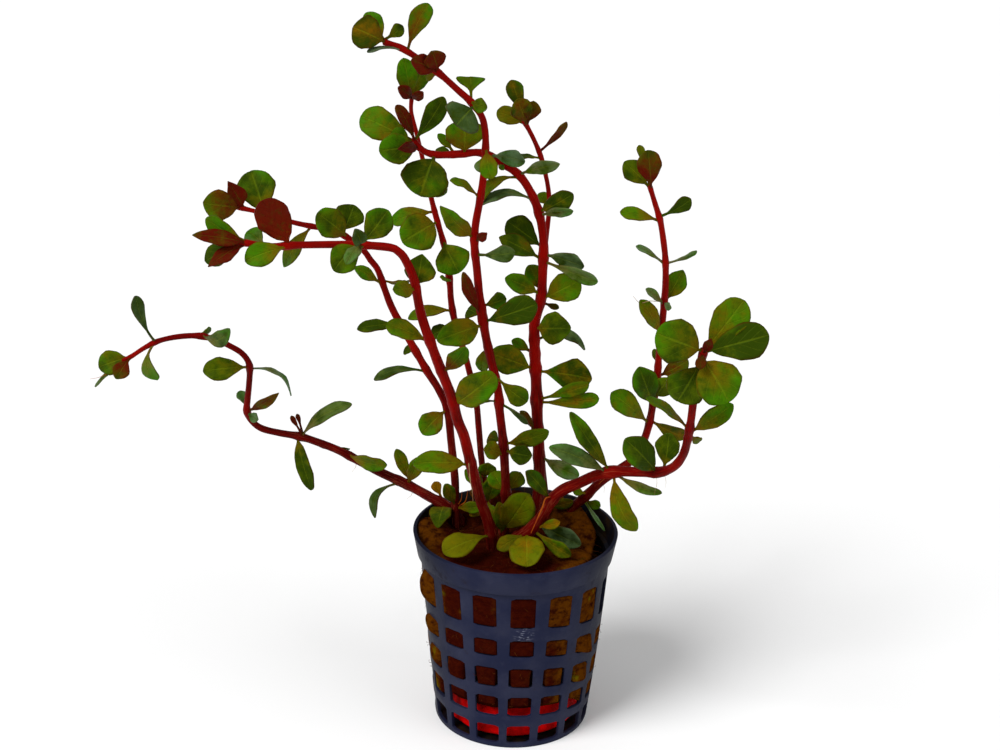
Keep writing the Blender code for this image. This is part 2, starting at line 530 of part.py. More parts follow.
def smooth_line(points, spacing):
    """A Catmull-Rom curve through the points, read about every spacing."""
    ends = [points[0] * 2 - points[1]] + points + [points[-1] * 2 - points[-2]]
    fine = []
    for index in range(1, len(ends) - 2):
        before, start, stop, after = ends[index - 1:index + 3]
        for step in range(8):
            t = step / 8
            fine.append(0.5 * (2 * start + (stop - before) * t
                               + (2 * before - 5 * start + 4 * stop - after) * t * t
                               + (3 * start - before - 3 * stop + after) * t ** 3))
    fine.append(points[-1])
    lengths = [0.0]
    for first, second in zip(fine, fine[1:]):
        lengths.append(lengths[-1] + (second - first).length)
    count = max(2, round(lengths[-1] / spacing))
    line = []
    index = 0
    for step in range(count + 1):
        wanted = lengths[-1] * step / count
        while index < len(fine) - 2 and lengths[index + 1] < wanted:
            index += 1
        span = lengths[index + 1] - lengths[index]
        line.append(fine[index].lerp(fine[index + 1], (wanted - lengths[index]) / span))
    return line


def stem_line(name):
    """The stem's axis from the bottom of its socket to its tip, and its radii."""
    foot_diameter, tip_diameter, path = STEMS[name]
    seen = [seen_at(across, down, away * MM) for across, down, away in path]
    seen[0].z = PLUG_TOP
    line = [seen[0] - Vector((0, 0, SOCKET_DEPTH))] + smooth_line(seen, RING_SPACING)
    radii = []
    for index in range(len(line)):
        share = index / (len(line) - 1)
        radii.append((foot_diameter + (tip_diameter - foot_diameter) * share) / 2 * MM)
    return line, radii


# Stems

def tube(mesh, line, radii):
    """A closed tube along a line, its rings kept from twisting."""
    rings = []
    side = Vector((1.0, 0.0, 0.0))
    for index, point in enumerate(line):
        before = line[max(index - 1, 0)]
        after = line[min(index + 1, len(line) - 1)]
        along = (after - before).normalized()
        side = (side - along * side.dot(along)).normalized()
        up = along.cross(side)
        ring = []
        for angle in even_angles(STEM_SIDES):
            ring.append(mesh.verts.new(point + (side * cos(angle) + up * sin(angle)) * radii[index]))
        rings.append(ring)
    for first, second in zip(rings, rings[1:]):
        joined(mesh, first, second)
    mesh.faces.new(rings[0])
    mesh.faces.new(rings[-1])


# Leaves

def leaf_width(share):
    """Half of a rotala leaf's outline: a narrow foot and a round end."""
    return sin(pi * share ** 1.3) ** 0.6 / 2


def nearest_on(name, across, down):
    """The stem's axis point and radius nearest to a place in the view."""
    line, radii = stem_line(name)
    best = None
    for index in range(len(line) - 1):
        for step in range(10):
            point = line[index].lerp(line[index + 1], step / 10)
            seen = view_turn().transposed() @ (point - VIEW_PLACE)
            gap = hypot(VIEW_CENTRE[0] + VIEW_FOCUS * seen.x / seen.y - across,
                        VIEW_CENTRE[1] - VIEW_FOCUS * seen.z / seen.y - down)
            if best is None or gap < best[0]:
                along = (line[index + 1] - line[index]).normalized()
                best = (gap, point, radii[index], along)
    return best[1:]


def leaf_ends(stem, row, apart=False):
    """The leaf's tip and its foot, on the stem's axis or just clear of its skin."""
    foot, radius, along = nearest_on(stem, *row[0])
    tip = seen_at(*row[1], foot.y - row[2] * MM)
    if apart:
        nearer = row[3] * MM if row[2] > 0 else -row[3] * MM
        out = tip - foot + (VIEW_PLACE - foot).normalized() * nearer
        out = (out - along * out.dot(along)).normalized()
        foot = foot + out * (radius + LEAF_THICKNESS / 2 + GAP)
    return foot, tip


def leaf_blade(mesh, foot, tip, row, stations):
    """A closed blade, thick at its midrib and sharp at its edges."""
    width, turn, arch = row[3] * MM, radians(row[4]), row[5]
    along = (tip - foot).normalized()
    facing = VIEW_PLACE - (foot + tip) / 2
    facing = (facing - along * facing.dot(along)).normalized()
    normal = facing * cos(turn) + along.cross(facing) * sin(turn)
    side = normal.cross(along)
    length = (tip - foot).length
    start = mesh.verts.new(foot)
    end = mesh.verts.new(tip)
    left, right, top, under = [], [], [], []
    for share in stations:
        half = width * leaf_width(share)
        rise = arch * length * 4 * share * (1 - share)
        spine = foot + along * (length * share) + normal * rise
        edge = normal * (half * LEAF_FOLD)
        left.append(mesh.verts.new(spine - side * half + edge))
        right.append(mesh.verts.new(spine + side * half + edge))
        top.append(mesh.verts.new(spine + normal * (LEAF_THICKNESS / 2)))
        under.append(mesh.verts.new(spine - normal * (LEAF_THICKNESS / 2)))
    loops = [left, top, right, under]
    for index, loop in enumerate(loops):
        beside = loops[(index + 1) % 4]
        mesh.faces.new((start, loop[0], beside[0]))
        for step in range(len(stations) - 1):
            mesh.faces.new((loop[step], loop[step + 1], beside[step + 1], beside[step]))
        mesh.faces.new((loop[-1], end, beside[-1]))


def leaf_area(stem, row):
    foot, tip = leaf_ends(stem, row)
    return (tip - foot).length * row[3]


def largest_leaves():
    """The stems and numbers of the leaves that are nodes of their own."""
    sized = []
    for stem, rows in LEAVES.items():
        for number, row in enumerate(rows, 1):
            sized.append((leaf_area(stem, row), stem, number))
    sized.sort(reverse=True)
    return {(stem, number) for _, stem, number in sized[:LEAF_NODES]}


def stem_with_leaves(stem, rows, separate, bark, green):
    mesh = bmesh.new()
    tube(mesh, *stem_line(stem))
    item = finished(mesh, f"stem_{stem}", bark)
    small = bmesh.new()
    for number, row in enumerate(rows, 1):
        apart = (stem, number) in separate
        foot, tip = leaf_ends(stem, row, apart)
        if apart:
            blade = bmesh.new()
            leaf_blade(blade, foot, tip, row, LARGE_LEAF_STATIONS)
            finished(blade, f"leaf_{stem}_{number:02d}", green)
        else:
            leaf_blade(small, foot, tip, row, SMALL_LEAF_STATIONS)
    shaped(item, finished(small, f"small_leaves_{stem}", green), 'UNION')


def main():
    clear_scene()
    net_pot()
    weight_ring()
    rockwool_plug()
    bark = plain_material("red_stem", (0.30, 0.01, 0.01), 0.45)
    green = plain_material("green_leaf", (0.06, 0.14, 0.02), 0.4)
    separate = largest_leaves()
    for stem, rows in LEAVES.items():
        stem_with_leaves(stem, rows, separate, bark, green)


main()
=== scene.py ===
"""Blood red rotala growing in a net pot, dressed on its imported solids.

Sizes are real, in metres through MM. The origin is the middle of the pot's
underside, +X is the right of the photograph and +Y is away from its camera.
"""

from math import atan2, cos, exp, hypot, log, pi, radians, sin

import bmesh
import bpy
from mathutils import Matrix, Vector, noise


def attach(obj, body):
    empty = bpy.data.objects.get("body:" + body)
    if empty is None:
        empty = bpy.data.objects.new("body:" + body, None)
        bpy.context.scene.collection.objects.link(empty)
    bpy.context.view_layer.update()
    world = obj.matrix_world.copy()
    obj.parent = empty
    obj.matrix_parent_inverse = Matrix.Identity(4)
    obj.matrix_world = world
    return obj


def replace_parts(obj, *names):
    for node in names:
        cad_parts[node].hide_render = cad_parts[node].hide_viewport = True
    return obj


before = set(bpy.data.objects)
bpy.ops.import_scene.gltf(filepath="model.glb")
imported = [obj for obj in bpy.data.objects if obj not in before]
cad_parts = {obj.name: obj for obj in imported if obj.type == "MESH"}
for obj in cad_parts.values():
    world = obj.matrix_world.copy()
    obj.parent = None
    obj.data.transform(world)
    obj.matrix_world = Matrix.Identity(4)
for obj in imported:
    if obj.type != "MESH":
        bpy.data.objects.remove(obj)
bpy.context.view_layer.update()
MM = 0.001


# Studio
# A plain pale floor in a white room, lit by two broad soft lamps. The camera
# stands where the photograph's stood, for a frame of 1000 by 750.

VIEW_CENTRE = (500.0, 375.0)
VIEW_FOCUS = 1568.0
VIEW_PLACE = Vector((-4.8, -360.6, 225.7)) * MM
VIEW_PITCH = -0.352
VIEW_ROLL = -0.022
SENSOR_WIDTH = 36.0
ROOM_LIGHT = 0.38

view_turn = Matrix.Rotation(VIEW_PITCH, 3, 'X') @ Matrix.Rotation(VIEW_ROLL, 3, 'Y')
lens = bpy.data.cameras.new("camera")
lens.sensor_width = SENSOR_WIDTH
lens.lens = VIEW_FOCUS / (2 * VIEW_CENTRE[0]) * SENSOR_WIDTH
lens.clip_start = 10 * MM
camera = bpy.data.objects.new("camera", lens)
camera.matrix_world = (Matrix.Translation(VIEW_PLACE)
                       @ (view_turn @ Matrix.Rotation(pi / 2, 3, 'X')).to_4x4())
bpy.context.scene.collection.objects.link(camera)
bpy.context.scene.camera = camera
bpy.context.scene.view_settings.view_transform = 'Standard'

room = bpy.data.worlds.new("white room")
room.use_nodes = True
room.node_tree.nodes["Background"].inputs["Color"].default_value = (1.0, 1.0, 1.0, 1.0)
room.node_tree.nodes["Background"].inputs["Strength"].default_value = ROOM_LIGHT
bpy.context.scene.world = room

for name, place, spread, strength in (
        ("key_light", (-0.75, -0.6, 1.0), 30.0, 3.0),
        ("side_light", (0.9, -0.5, 0.6), 45.0, 0.9)):
    light = bpy.data.lights.new(name, 'SUN')
    light.angle = radians(spread)
    light.energy = strength
    lamp = bpy.data.objects.new(name, light)
    lamp.location = place
    lamp.rotation_euler = (-lamp.location).to_track_quat('-Z', 'Y').to_euler()
    bpy.context.scene.collection.objects.link(lamp)


class Flow:
    """A value in a material. Python's operators on it add Math nodes."""

    def __init__(self, finish, socket):
        self.finish = finish
        self.socket = socket

    def maths(self, operation, *values):
        """A Math node of any kind, on these values."""
        sockets = dict(enumerate(values))
        return self.finish.add("ShaderNodeMath", {"operation": operation}, sockets)

    def __add__(self, other):
        return self.maths('ADD', self, other)

    def __sub__(self, other):
        return self.maths('SUBTRACT', self, other)

    def __rsub__(self, other):
        return self.maths('SUBTRACT', other, self)

    def __mul__(self, other):
        return self.maths('MULTIPLY', self, other)

    def __abs__(self):
        return self.maths('ABSOLUTE', self)

    __radd__ = __add__
    __rmul__ = __mul__


class Finish:
    """A material with its surface shader. One method adds every other node.

    Its colour is built up in layers, each laid over those before it.
    """

    def __init__(self, name, **fixed):
        self.colour = None
        self.material = bpy.data.materials.new(name)
        self.material.use_nodes = True
        self.tree = self.material.node_tree
        self.surface = self.tree.nodes["Principled BSDF"]
        for socket, value in fixed.items():
            self.surface.inputs[socket.replace("_", " ")].default_value = value

    def add(self, kind, settings=None, sockets=None, output=0):
        """A node with its settings and its sockets' values, and the flow out of it."""
        made = self.tree.nodes.new(kind)
        for setting, value in (settings or {}).items():
            setattr(made, setting, value)
        for socket, value in (sockets or {}).items():
            self.feed(made.inputs[socket], value)
        return Flow(self, made.outputs[output])

    def feed(self, socket, value):
        """Links a flow to a socket, or sets the socket to a fixed value."""
        if isinstance(value, Flow):
            self.tree.links.new(value.socket, socket)
        elif isinstance(value, tuple) and len(value) == 3 and socket.type == 'RGBA':
            socket.default_value = (*value, 1.0)
        else:
            socket.default_value = value

    def place(self):
        """Where a point lies on the object itself, in metres."""
        return self.add("ShaderNodeTexCoord", output=3)

    def grain(self, place, scale, detail=3.0, roughness=0.55):
        """Noise from 0 to 1, so many waves to a metre."""
        return self.add("ShaderNodeTexNoise", None, {
            "Vector": place, "Scale": scale, "Detail": detail, "Roughness": roughness})

    def stretched(self, place, stretch):
        return self.add("ShaderNodeVectorMath", {"operation": 'MULTIPLY'}, {0: place, 1: stretch})

    def between(self, value, low, high):
        """0 below low, 1 above high and a smooth rise between them."""
        return self.add("ShaderNodeMapRange", {"interpolation_type": 'SMOOTHSTEP'}, {
            "Value": value, "From Min": low, "From Max": high})

    def mixed(self, share, first, second):
        return self.add("ShaderNodeMix", {"data_type": 'RGBA'}, {0: share, 6: first, 7: second}, 2)

    def lay(self, colour, share):
        """Lays a colour over the ones below, for this share of the whole."""
        self.colour = self.mixed(share, self.colour, colour)

    def attribute(self, name):
        """The value of this name that the mesh holds on its corners."""
        return self.add("ShaderNodeAttribute", {"attribute_name": name}, output=2)

    def part(self, place, axis):
        return self.add("ShaderNodeSeparateXYZ", None, {0: place}, "XYZ".index(axis))

    def bump(self, height, depth):
        """The surface's direction where this height lifts it by up to the depth."""
        return self.add("ShaderNodeBump", None, {"Height": height, "Distance": depth})

    def set(self, **inputs):
        """Feeds the surface shader's own sockets, named with _ for a space."""
        for socket, value in inputs.items():
            self.feed(self.surface.inputs[socket.replace("_", " ")], value)


def shown(red, green, blue):
    """A colour as the eye reads it on screen, from 0 to 255, as light."""
    return tuple(((part / 255 + 0.055) / 1.055) ** 2.4 for part in (red, green, blue))


def piece(mesh, name, *finishes):
    """A bmesh made an object at the origin, its faces shaded smooth."""
    data = bpy.data.meshes.new(name)
    mesh.to_mesh(data)
    mesh.free()
    data.shade_smooth()
    for finish in finishes:
        data.materials.append(finish.material)
    item = bpy.data.objects.new(name, data)
    bpy.context.scene.collection.objects.link(item)
    return item


FLOOR_SIZE = 3.0

floor_mesh = bmesh.new()
bmesh.ops.create_grid(floor_mesh, x_segments=2, y_segments=2, size=FLOOR_SIZE)
floor_paint = Finish("floor paint", Roughness=0.9)
floor_paint.set(Base_Color=floor_paint.mixed(
    floor_paint.grain(floor_paint.place(), 2.0), (0.86, 0.86, 0.86), (0.9, 0.9, 0.9)))
piece(floor_mesh, "floor", floor_paint)


# Net pot
# One thin moulding of slate navy plastic: a cone of ribs and hoops with open
# windows between them, a plain collar that steps out, and a slotted base.

RIM_RADIUS = 26.0 * MM
RIM_HEIGHT = 51.8 * MM
COLLAR_FOOT_RADIUS = 24.9 * MM
COLLAR_FOOT_HEIGHT = 45.6 * MM
COLLAR_STEP = 0.3 * MM
COLLAR_BEND = (25.45 * MM, 48.8 * MM)
WALL_TOP_RADIUS = 24.0 * MM
BASE_RADIUS = 20.0 * MM
POT_WALL = 0.9 * MM
WINDOW_ROWS = [(1.2, 6.6), (9.4, 15.4), (18.3, 24.0), (27.4, 32.3), (35.8, 44.4)]
HIGHEST_WINDOW = WINDOW_ROWS[-1][1] * MM
WINDOW_COLUMNS = 16
FIRST_COLUMN = radians(-90.0 + 5.2)
FIRST_SEAM = FIRST_COLUMN - pi / WINDOW_COLUMNS
RIB_FOOT_WIDTH = 3.4 * MM
RIB_HEAD_WIDTH = 2.7 * MM
COLUMN_STEPS = 12
WINDOW_STEPS = 8
WINDOW_CORNER = 0.45 * MM
SLOT_OUTER_RADIUS = 14.5 * MM
SLOT_INNER_RADIUS = 6.5 * MM
POT_EDGE = 0.16 * MM
# Corners that lie nearer than this are one corner
MERGE = 0.01 * MM
# The moulding isn't quite even: its hoops sag by this at this distance to the
# right or left, and its ribs spread out from this turn towards the rim
HOOP_SAG_RIGHT = 2.4 * MM
HOOP_SAG_LEFT = 0.6 * MM
SAG_REACH = 16.0 * MM
SAG_HEIGHT = 53.6 * MM
RIB_SPREAD = radians(3.0)
SPREAD_MIDDLE = radians(-86.0)
NAVY = shown(25, 29, 52)
NAVY_WORN = shown(48, 50, 68)
POT_STAIN = shown(34, 22, 6)
# Painted shade: a darker navy laid on the pot's left and right sides and over its inside
POT_PAINTED_SHADE = shown(8, 9, 18)
PAINTED_GLINT = shown(120, 124, 140)
GLINT_PLACE = Vector((2.5, -23.0, 34.0)) * MM


def wall_radius(height):
    """The radius of the wall's outside at this height."""
    return BASE_RADIUS + (WALL_TOP_RADIUS - BASE_RADIUS) * height / COLLAR_FOOT_HEIGHT


def pot_profile():
    """The outside of the pot from the middle of its base up to its rim."""
    line = [(0.0, 0.0), (SLOT_INNER_RADIUS, 0.0), (SLOT_OUTER_RADIUS, 0.0), (BASE_RADIUS, 0.0)]
    for low, high in WINDOW_ROWS:
        for height in (low * MM, low * MM + WINDOW_CORNER, high * MM - WINDOW_CORNER, high * MM):
            line.append((wall_radius(height), height))
    line += [(WALL_TOP_RADIUS, COLLAR_FOOT_HEIGHT),
             (COLLAR_FOOT_RADIUS, COLLAR_FOOT_HEIGHT + COLLAR_STEP)]
    line += [COLLAR_BEND, (RIM_RADIUS, RIM_HEIGHT)]
    return line


def turned(outline, steps):
    """A bmesh of an outline, pairs of radius and height, turned about the pot's axis."""
    mesh = bmesh.new()
    chain = [mesh.verts.new((radius * cos(FIRST_SEAM), radius * sin(FIRST_SEAM), height))
             for radius, height in outline]
    edges = [mesh.edges.new(pair) for pair in zip(chain, chain[1:])]
    bmesh.ops.spin(mesh, geom=chain + edges, axis=(0, 0, 1), cent=(0, 0, 0), angle=2 * pi,
                   steps=steps, use_merge=True)
    bmesh.ops.remove_doubles(mesh, verts=mesh.verts, dist=MERGE)
    return mesh


def window_steps(place):
    """How many steps a place lies from the nearest column's middle line."""
    column = Vector((cos(FIRST_COLUMN), sin(FIRST_COLUMN)))
    turn = Vector((place.x, place.y)).angle_signed(column)
    steps = -turn / (2 * pi) * WINDOW_COLUMNS * COLUMN_STEPS
    return (steps + COLUMN_STEPS / 2) % COLUMN_STEPS - COLUMN_STEPS / 2


def placed_turn(steps, height):
    """The turn from a column's middle of a place so many steps away, for ribs of even width."""
    share = height / COLLAR_FOOT_HEIGHT
    rib = RIB_FOOT_WIDTH + (RIB_HEAD_WIDTH - RIB_FOOT_WIDTH) * share
    half = pi / WINDOW_COLUMNS - rib / 2 / wall_radius(height)
    corner = WINDOW_CORNER / wall_radius(height)
    edge = WINDOW_STEPS / 2
    if steps <= edge - 1:
        return (half - corner) * steps / (edge - 1)
    if steps <= edge:
        return half - corner * (edge - steps)
    return half + (pi / WINDOW_COLUMNS - half) * (steps - edge) / (COLUMN_STEPS / 2 - edge)


def pot_bent(place):
    """Where a point of an even pot lies on the real one."""
    share = min(place.z / COLLAR_FOOT_HEIGHT, 1.0)
    above = (place.z - HIGHEST_WINDOW) / (COLLAR_FOOT_HEIGHT - HIGHEST_WINDOW)
    fading = 1.0 - max(0.0, above)
    offset = atan2(place.y, place.x) - SPREAD_MIDDLE
    moved = place.copy()
    if 0.0 < share and fading > 0.0:
        moved.rotate(Matrix.Rotation(RIB_SPREAD * share * sin(offset) * fading, 3, 'Z'))
        sag = HOOP_SAG_RIGHT if place.x > 0 else HOOP_SAG_LEFT
        moved.z -= sag * (place.x / SAG_REACH) ** 2 * sin(pi * place.z / SAG_HEIGHT) * fading
    return moved


def inner_half(face, centre_height):
    """The half nearer the window's middle of a face at its corner, cut across."""
    corners = list(face.verts)
    inner = min(corners, key=lambda corner: abs(window_steps(corner.co)) * MM
                + abs(corner.co.z - centre_height))
    index = corners.index(inner)
    other, _ = bmesh.utils.face_split(face, corners[index - 1], corners[(index + 1) % 4])
    return face if inner in face.verts else other


pot_mesh = turned(pot_profile(), WINDOW_COLUMNS * COLUMN_STEPS)
half_window = WINDOW_STEPS / 2
gone = []
for face in list(pot_mesh.faces):
    middle = face.calc_center_median()
    radius = hypot(middle.x, middle.y)
    steps = abs(window_steps(middle)) if radius > 1 * MM else COLUMN_STEPS
    if steps > half_window:
        continue
    if middle.z < 0.1 * MM:
        if SLOT_INNER_RADIUS < radius < SLOT_OUTER_RADIUS:
            gone.append(face)
        continue
    for low, high in WINDOW_ROWS:
        if not low * MM < middle.z < high * MM:
            continue
        at_end = middle.z < low * MM + WINDOW_CORNER or middle.z > high * MM - WINDOW_CORNER
        at_corner = at_end and steps > half_window - 1
        gone.append(inner_half(face, (low + high) / 2 * MM) if at_corner else face)
bmesh.ops.delete(pot_mesh, geom=gone, context='FACES')
# The even steps move round the pot until each rib has its real width
for corner in pot_mesh.verts:
    if hypot(corner.co.x, corner.co.y) > 1 * MM:
        steps = window_steps(corner.co)
        even = abs(steps) * 2 * pi / (WINDOW_COLUMNS * COLUMN_STEPS)
        turn = placed_turn(abs(steps), min(corner.co.z, COLLAR_FOOT_HEIGHT)) - even
        corner.co.rotate(Matrix.Rotation(turn if steps > 0 else -turn, 3, 'Z'))
        corner.co = pot_bent(corner.co)
bmesh.ops.recalc_face_normals(pot_mesh, faces=pot_mesh.faces)
lowest = min(pot_mesh.faces, key=lambda face: face.calc_center_median().z)
if lowest.normal.z > 0:
    bmesh.ops.reverse_faces(pot_mesh, faces=pot_mesh.faces)

plastic = Finish("slate navy plastic", Specular_IOR_Level=0.05)
pot_place = plastic.place()
cloudy = plastic.grain(pot_place, 90.0, 4.0)
worn = plastic.between(plastic.grain(pot_place, 420.0, 5.0), 0.52, 0.72)
stained = plastic.between(plastic.grain(pot_place, 160.0, 6.0, 0.7), 0.56, 0.74)
painted_side_shade = plastic.between(abs(plastic.part(pot_place, "X")), 12.0 * MM, 25.0 * MM)
# Painted glint: pale streaks on the front band where the plastic catches the light
glint_distance = plastic.add("ShaderNodeVectorMath", {"operation": 'DISTANCE'},
                         {0: pot_place, 1: tuple(GLINT_PLACE)}, "Value")
painted_glint_share = 1.0 - plastic.between(glint_distance, 0.5 * MM, 3.2 * MM)
glint_streaks = plastic.grain(plastic.stretched(pot_place, (1.0, 1.0, 3.0)), 900.0, 4.0)
plastic.colour = NAVY
plastic.lay(NAVY_WORN, plastic.between(cloudy, 0.35, 0.7) * 0.5)
plastic.lay(NAVY_WORN, worn * 0.25)
plastic.lay(POT_STAIN, stained * 0.45)
# Painted shade: the pot's left and right sides are painted darker
plastic.lay(POT_PAINTED_SHADE, painted_side_shade * 0.75)
# Painted glint laid on the front band
plastic.lay(PAINTED_GLINT, painted_glint_share * plastic.between(glint_streaks, 0.52, 0.6) * 0.7)
moulded = plastic.grain(pot_place, 260.0, 4.0) + plastic.grain(pot_place, 2200.0, 2.0) * 0.25
plastic.set(Base_Color=plastic.colour, Roughness=0.34 + cloudy * 0.2 + stained * 0.25,
            Normal=plastic.bump(moulded, 0.12 * MM))

# Inside the pot the plastic is a darker navy, painted shade for the shade inside it, with real brown
# stains laid over it
inner_plastic_stain_and_shade = Finish("stained and painted shade inside of the pot", Specular_IOR_Level=0.1)
wet_stain = inner_plastic_stain_and_shade.between(inner_plastic_stain_and_shade.grain(inner_plastic_stain_and_shade.place(), 200.0, 5.0), 0.4, 0.7)
inner_plastic_stain_and_shade.set(Base_Color=inner_plastic_stain_and_shade.mixed(wet_stain, POT_PAINTED_SHADE, POT_STAIN),
                Roughness=0.5 + wet_stain * 0.2)

pot = piece(pot_mesh, "pot", plastic, inner_plastic_stain_and_shade)
wall = pot.modifiers.new("wall", 'SOLIDIFY')
wall.thickness = POT_WALL
wall.offset = -1.0
wall.use_even_offset = True
wall.material_offset = 1
edge = pot.modifiers.new("soft edges", 'BEVEL')
edge.width = POT_EDGE
edge.segments = 2
edge.limit_method = 'ANGLE'
edge.angle_limit = radians(35.0)
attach(pot, "root")
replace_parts(pot, "net_pot")


# Weight ring
# A bright red ring of fired clay that keeps the pot standing under water. It
# lies on the base under the plug, and its lower edge is well rounded.

RING_OUTER_RADIUS = 17.4 * MM
RING_INNER_RADIUS = 5.0 * MM
RING_FOOT = 1.5 * MM
RING_TOP = 10.5 * MM
RING_ROUND = 0.9 * MM
RING_UNEVEN = 0.25 * MM
RING_RED = shown(212, 1, 1)
RING_DARK = shown(156, 1, 1)

ring_mesh = bmesh.new()
corners = [(RING_INNER_RADIUS, RING_FOOT), (RING_OUTER_RADIUS, RING_FOOT),
           (RING_OUTER_RADIUS, RING_TOP), (RING_INNER_RADIUS, RING_TOP)]
section = [ring_mesh.verts.new((radius, 0.0, height)) for radius, height in corners]
ring_mesh.faces.new(section)
bmesh.ops.bevel(ring_mesh, geom=section, offset=RING_ROUND, segments=5, profile=0.5,
                affect='VERTICES', material=-1)
bmesh.ops.delete(ring_mesh, geom=list(ring_mesh.faces), context='FACES_ONLY')
bmesh.ops.spin(ring_mesh, geom=list(ring_mesh.verts) + list(ring_mesh.edges), axis=(0, 0, 1),
               cent=(0, 0, 0), angle=2 * pi, steps=96, use_merge=True)
bmesh.ops.remove_doubles(ring_mesh, verts=ring_mesh.verts, dist=MERGE)
for corner in ring_mesh.verts:
    corner.co.z += RING_UNEVEN * noise.noise(corner.co * 300.0)
bmesh.ops.recalc_face_normals(ring_mesh, faces=ring_mesh.faces)

clay = Finish("red clay", Specular_IOR_Level=0.02)
ring_place = clay.place()
fired = clay.grain(ring_place, 500.0, 5.0)
clay.set(Base_Color=clay.mixed(clay.between(fired, 0.3, 0.7), RING_DARK, RING_RED),
         Roughness=0.35 + fired * 0.3, Normal=clay.bump(fired, 0.15 * MM))
ring = piece(ring_mesh, "ring", clay)
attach(ring, "root")
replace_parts(ring, "weight_ring")


# Rockwool plug
# The plant roots in a block of mineral wool that fills the pot. It is damp,
# brown and matted, golden where it is dry, and it swells out of some windows.

PLUG_FOOT = 10.8 * MM
PLUG_TOP = 49.0 * MM
PLUG_FOOT_RADIUS = 18.9 * MM
PLUG_TOP_RADIUS = 22.2 * MM
PLUG_SHIFT = -0.8 * MM
PLUG_EDGE = 1.4 * MM
WOOL_STEPS_AROUND = 256
WOOL_STEPS_UP = 84
WOOL_STEPS_IN = 26
# How far it stays behind the wall's outside in a window, and how soon it gets there
WINDOW_SETBACK = 0.05 * MM
WINDOW_SLOPE = 0.15 * MM
# At the front it reaches down no further than this, in millimetres
WOOL_SAGS_TO = 12.6
WOOL_FRONT = -11.0 * MM
# Where it swells out or stays back, in degrees round the pot from +X, its height, how
# far it swells, and the half width and half height of the swelling, in millimetres
WOOL_SWELLINGS = [
    (-157.0, 40.0, 1.6, 3.0, 3.6), (-156.0, 30.0, 1.1, 2.8, 2.6), (-156.0, 21.5, 0.7, 2.8, 2.8),
    (-130.0, 21.0, 0.5, 2.4, 2.6), (-37.0, 40.0, 0.3, 2.4, 3.4), (-38.0, 29.5, 0.8, 2.6, 2.6),
    (-36.0, 26.0, 1.0, 2.4, 3.0), (-38.0, 20.0, 0.8, 2.4, 3.2), (-8.0, 42.0, -2.4, 8.0, 7.0),
    (178.0, 50.0, 2.2, 8.0, 4.6), (-160.0, 50.0, 1.2, 6.0, 3.0),
]
# Mounds (+) and hollows (-) of the top: across, away, height and reach in millimetres
WOOL_RELIEF = [
    (-22.0, 1.0, 2.6, 4.5), (-19.0, 6.0, 2.0, 4.5), (-13.0, 8.0, -1.8, 4.0), (-11.0, 17.0, 2.6, 6.0),
    (0.0, 20.0, 4.2, 6.0), (12.0, 18.0, 4.2, 6.0), (17.0, 11.0, 3.0, 5.5), (17.0, 3.0, 1.2, 4.0),
    (12.0, -10.0, 0.6, 5.0), (-6.0, -12.0, -0.8, 4.0), (8.0, 3.0, -1.4, 5.0), (-10.0, -6.0, -0.6, 3.0),
    (2.0, -16.0, -0.5, 4.0), (-22.0, -5.0, -2.0, 3.0),
]
WOOL_DARK = shown(34, 7, 1)
WOOL_BROWN = shown(56, 16, 1)
WOOL_GOLD = shown(80, 42, 1)
WOOL_RED = shown(48, 4, 1)
WOOL_MOSS = shown(92, 84, 1)


def plug_radius(height):
    """The radius of the even block at this height."""
    return (PLUG_FOOT_RADIUS + (PLUG_TOP_RADIUS - PLUG_FOOT_RADIUS)
            * (height - PLUG_FOOT) / (PLUG_TOP - PLUG_FOOT))


def plug_profile():
    """The even block's outline, from the middle of its top to that of its foot."""
    flat = PLUG_TOP_RADIUS - PLUG_EDGE
    line = [(0.0, PLUG_TOP)]
    line += [(flat * step / WOOL_STEPS_IN, PLUG_TOP) for step in range(1, WOOL_STEPS_IN + 1)]
    line += [(flat + PLUG_EDGE * sin(turn), PLUG_TOP - PLUG_EDGE * (1 - cos(turn)))
             for turn in (radians(30), radians(60), radians(90))]
    for step in range(1, WOOL_STEPS_UP + 1):
        share = step / WOOL_STEPS_UP
        height = (PLUG_TOP - PLUG_EDGE) * (1 - share) + PLUG_FOOT * share
        line.append((plug_radius(height), height))
    return line + [(PLUG_FOOT_RADIUS * 0.6, PLUG_FOOT), (0.0, PLUG_FOOT)]


def in_window(place):
    """1 behind a window, 0 behind a rib or hoop and a slope between them."""
    height = place.z / MM
    lowest = WOOL_SAGS_TO if place.y < WOOL_FRONT else 0.0
    row = [min(height - max(low, lowest), high - height) for low, high in WINDOW_ROWS
           if max(low, lowest) < height < high]
    if not row:
        return 0.0
    share = place.z / COLLAR_FOOT_HEIGHT
    rib = RIB_FOOT_WIDTH + (RIB_HEAD_WIDTH - RIB_FOOT_WIDTH) * share
    turn = abs(window_steps(place)) * 2 * pi / (WINDOW_COLUMNS * COLUMN_STEPS)
    aside = wall_radius(place.z) * (pi / WINDOW_COLUMNS - turn) - rib / 2
    near = min(row[0] * MM, aside) / WINDOW_SLOPE
    near = min(max(near, 0.0), 1.0)
    return near * near * (3 - 2 * near)


def wool_swelling(place, radius, window):
    """How many millimetres it swells out here, mostly through windows and above the wall."""
    total = 0.0
    for degrees, height, swell, wide, tall in WOOL_SWELLINGS:
        middle = Vector((cos(radians(degrees)), sin(radians(degrees))))
        turn = middle.angle(Vector((place.x, place.y)))
        off = (turn * radius / (wide * MM)) ** 2 + ((place.z - height * MM) / (tall * MM)) ** 2
        free = swell < 0 or place.z > COLLAR_FOOT_HEIGHT
        total += (1.0 if free else window) * swell * exp(-off * off)
    return total


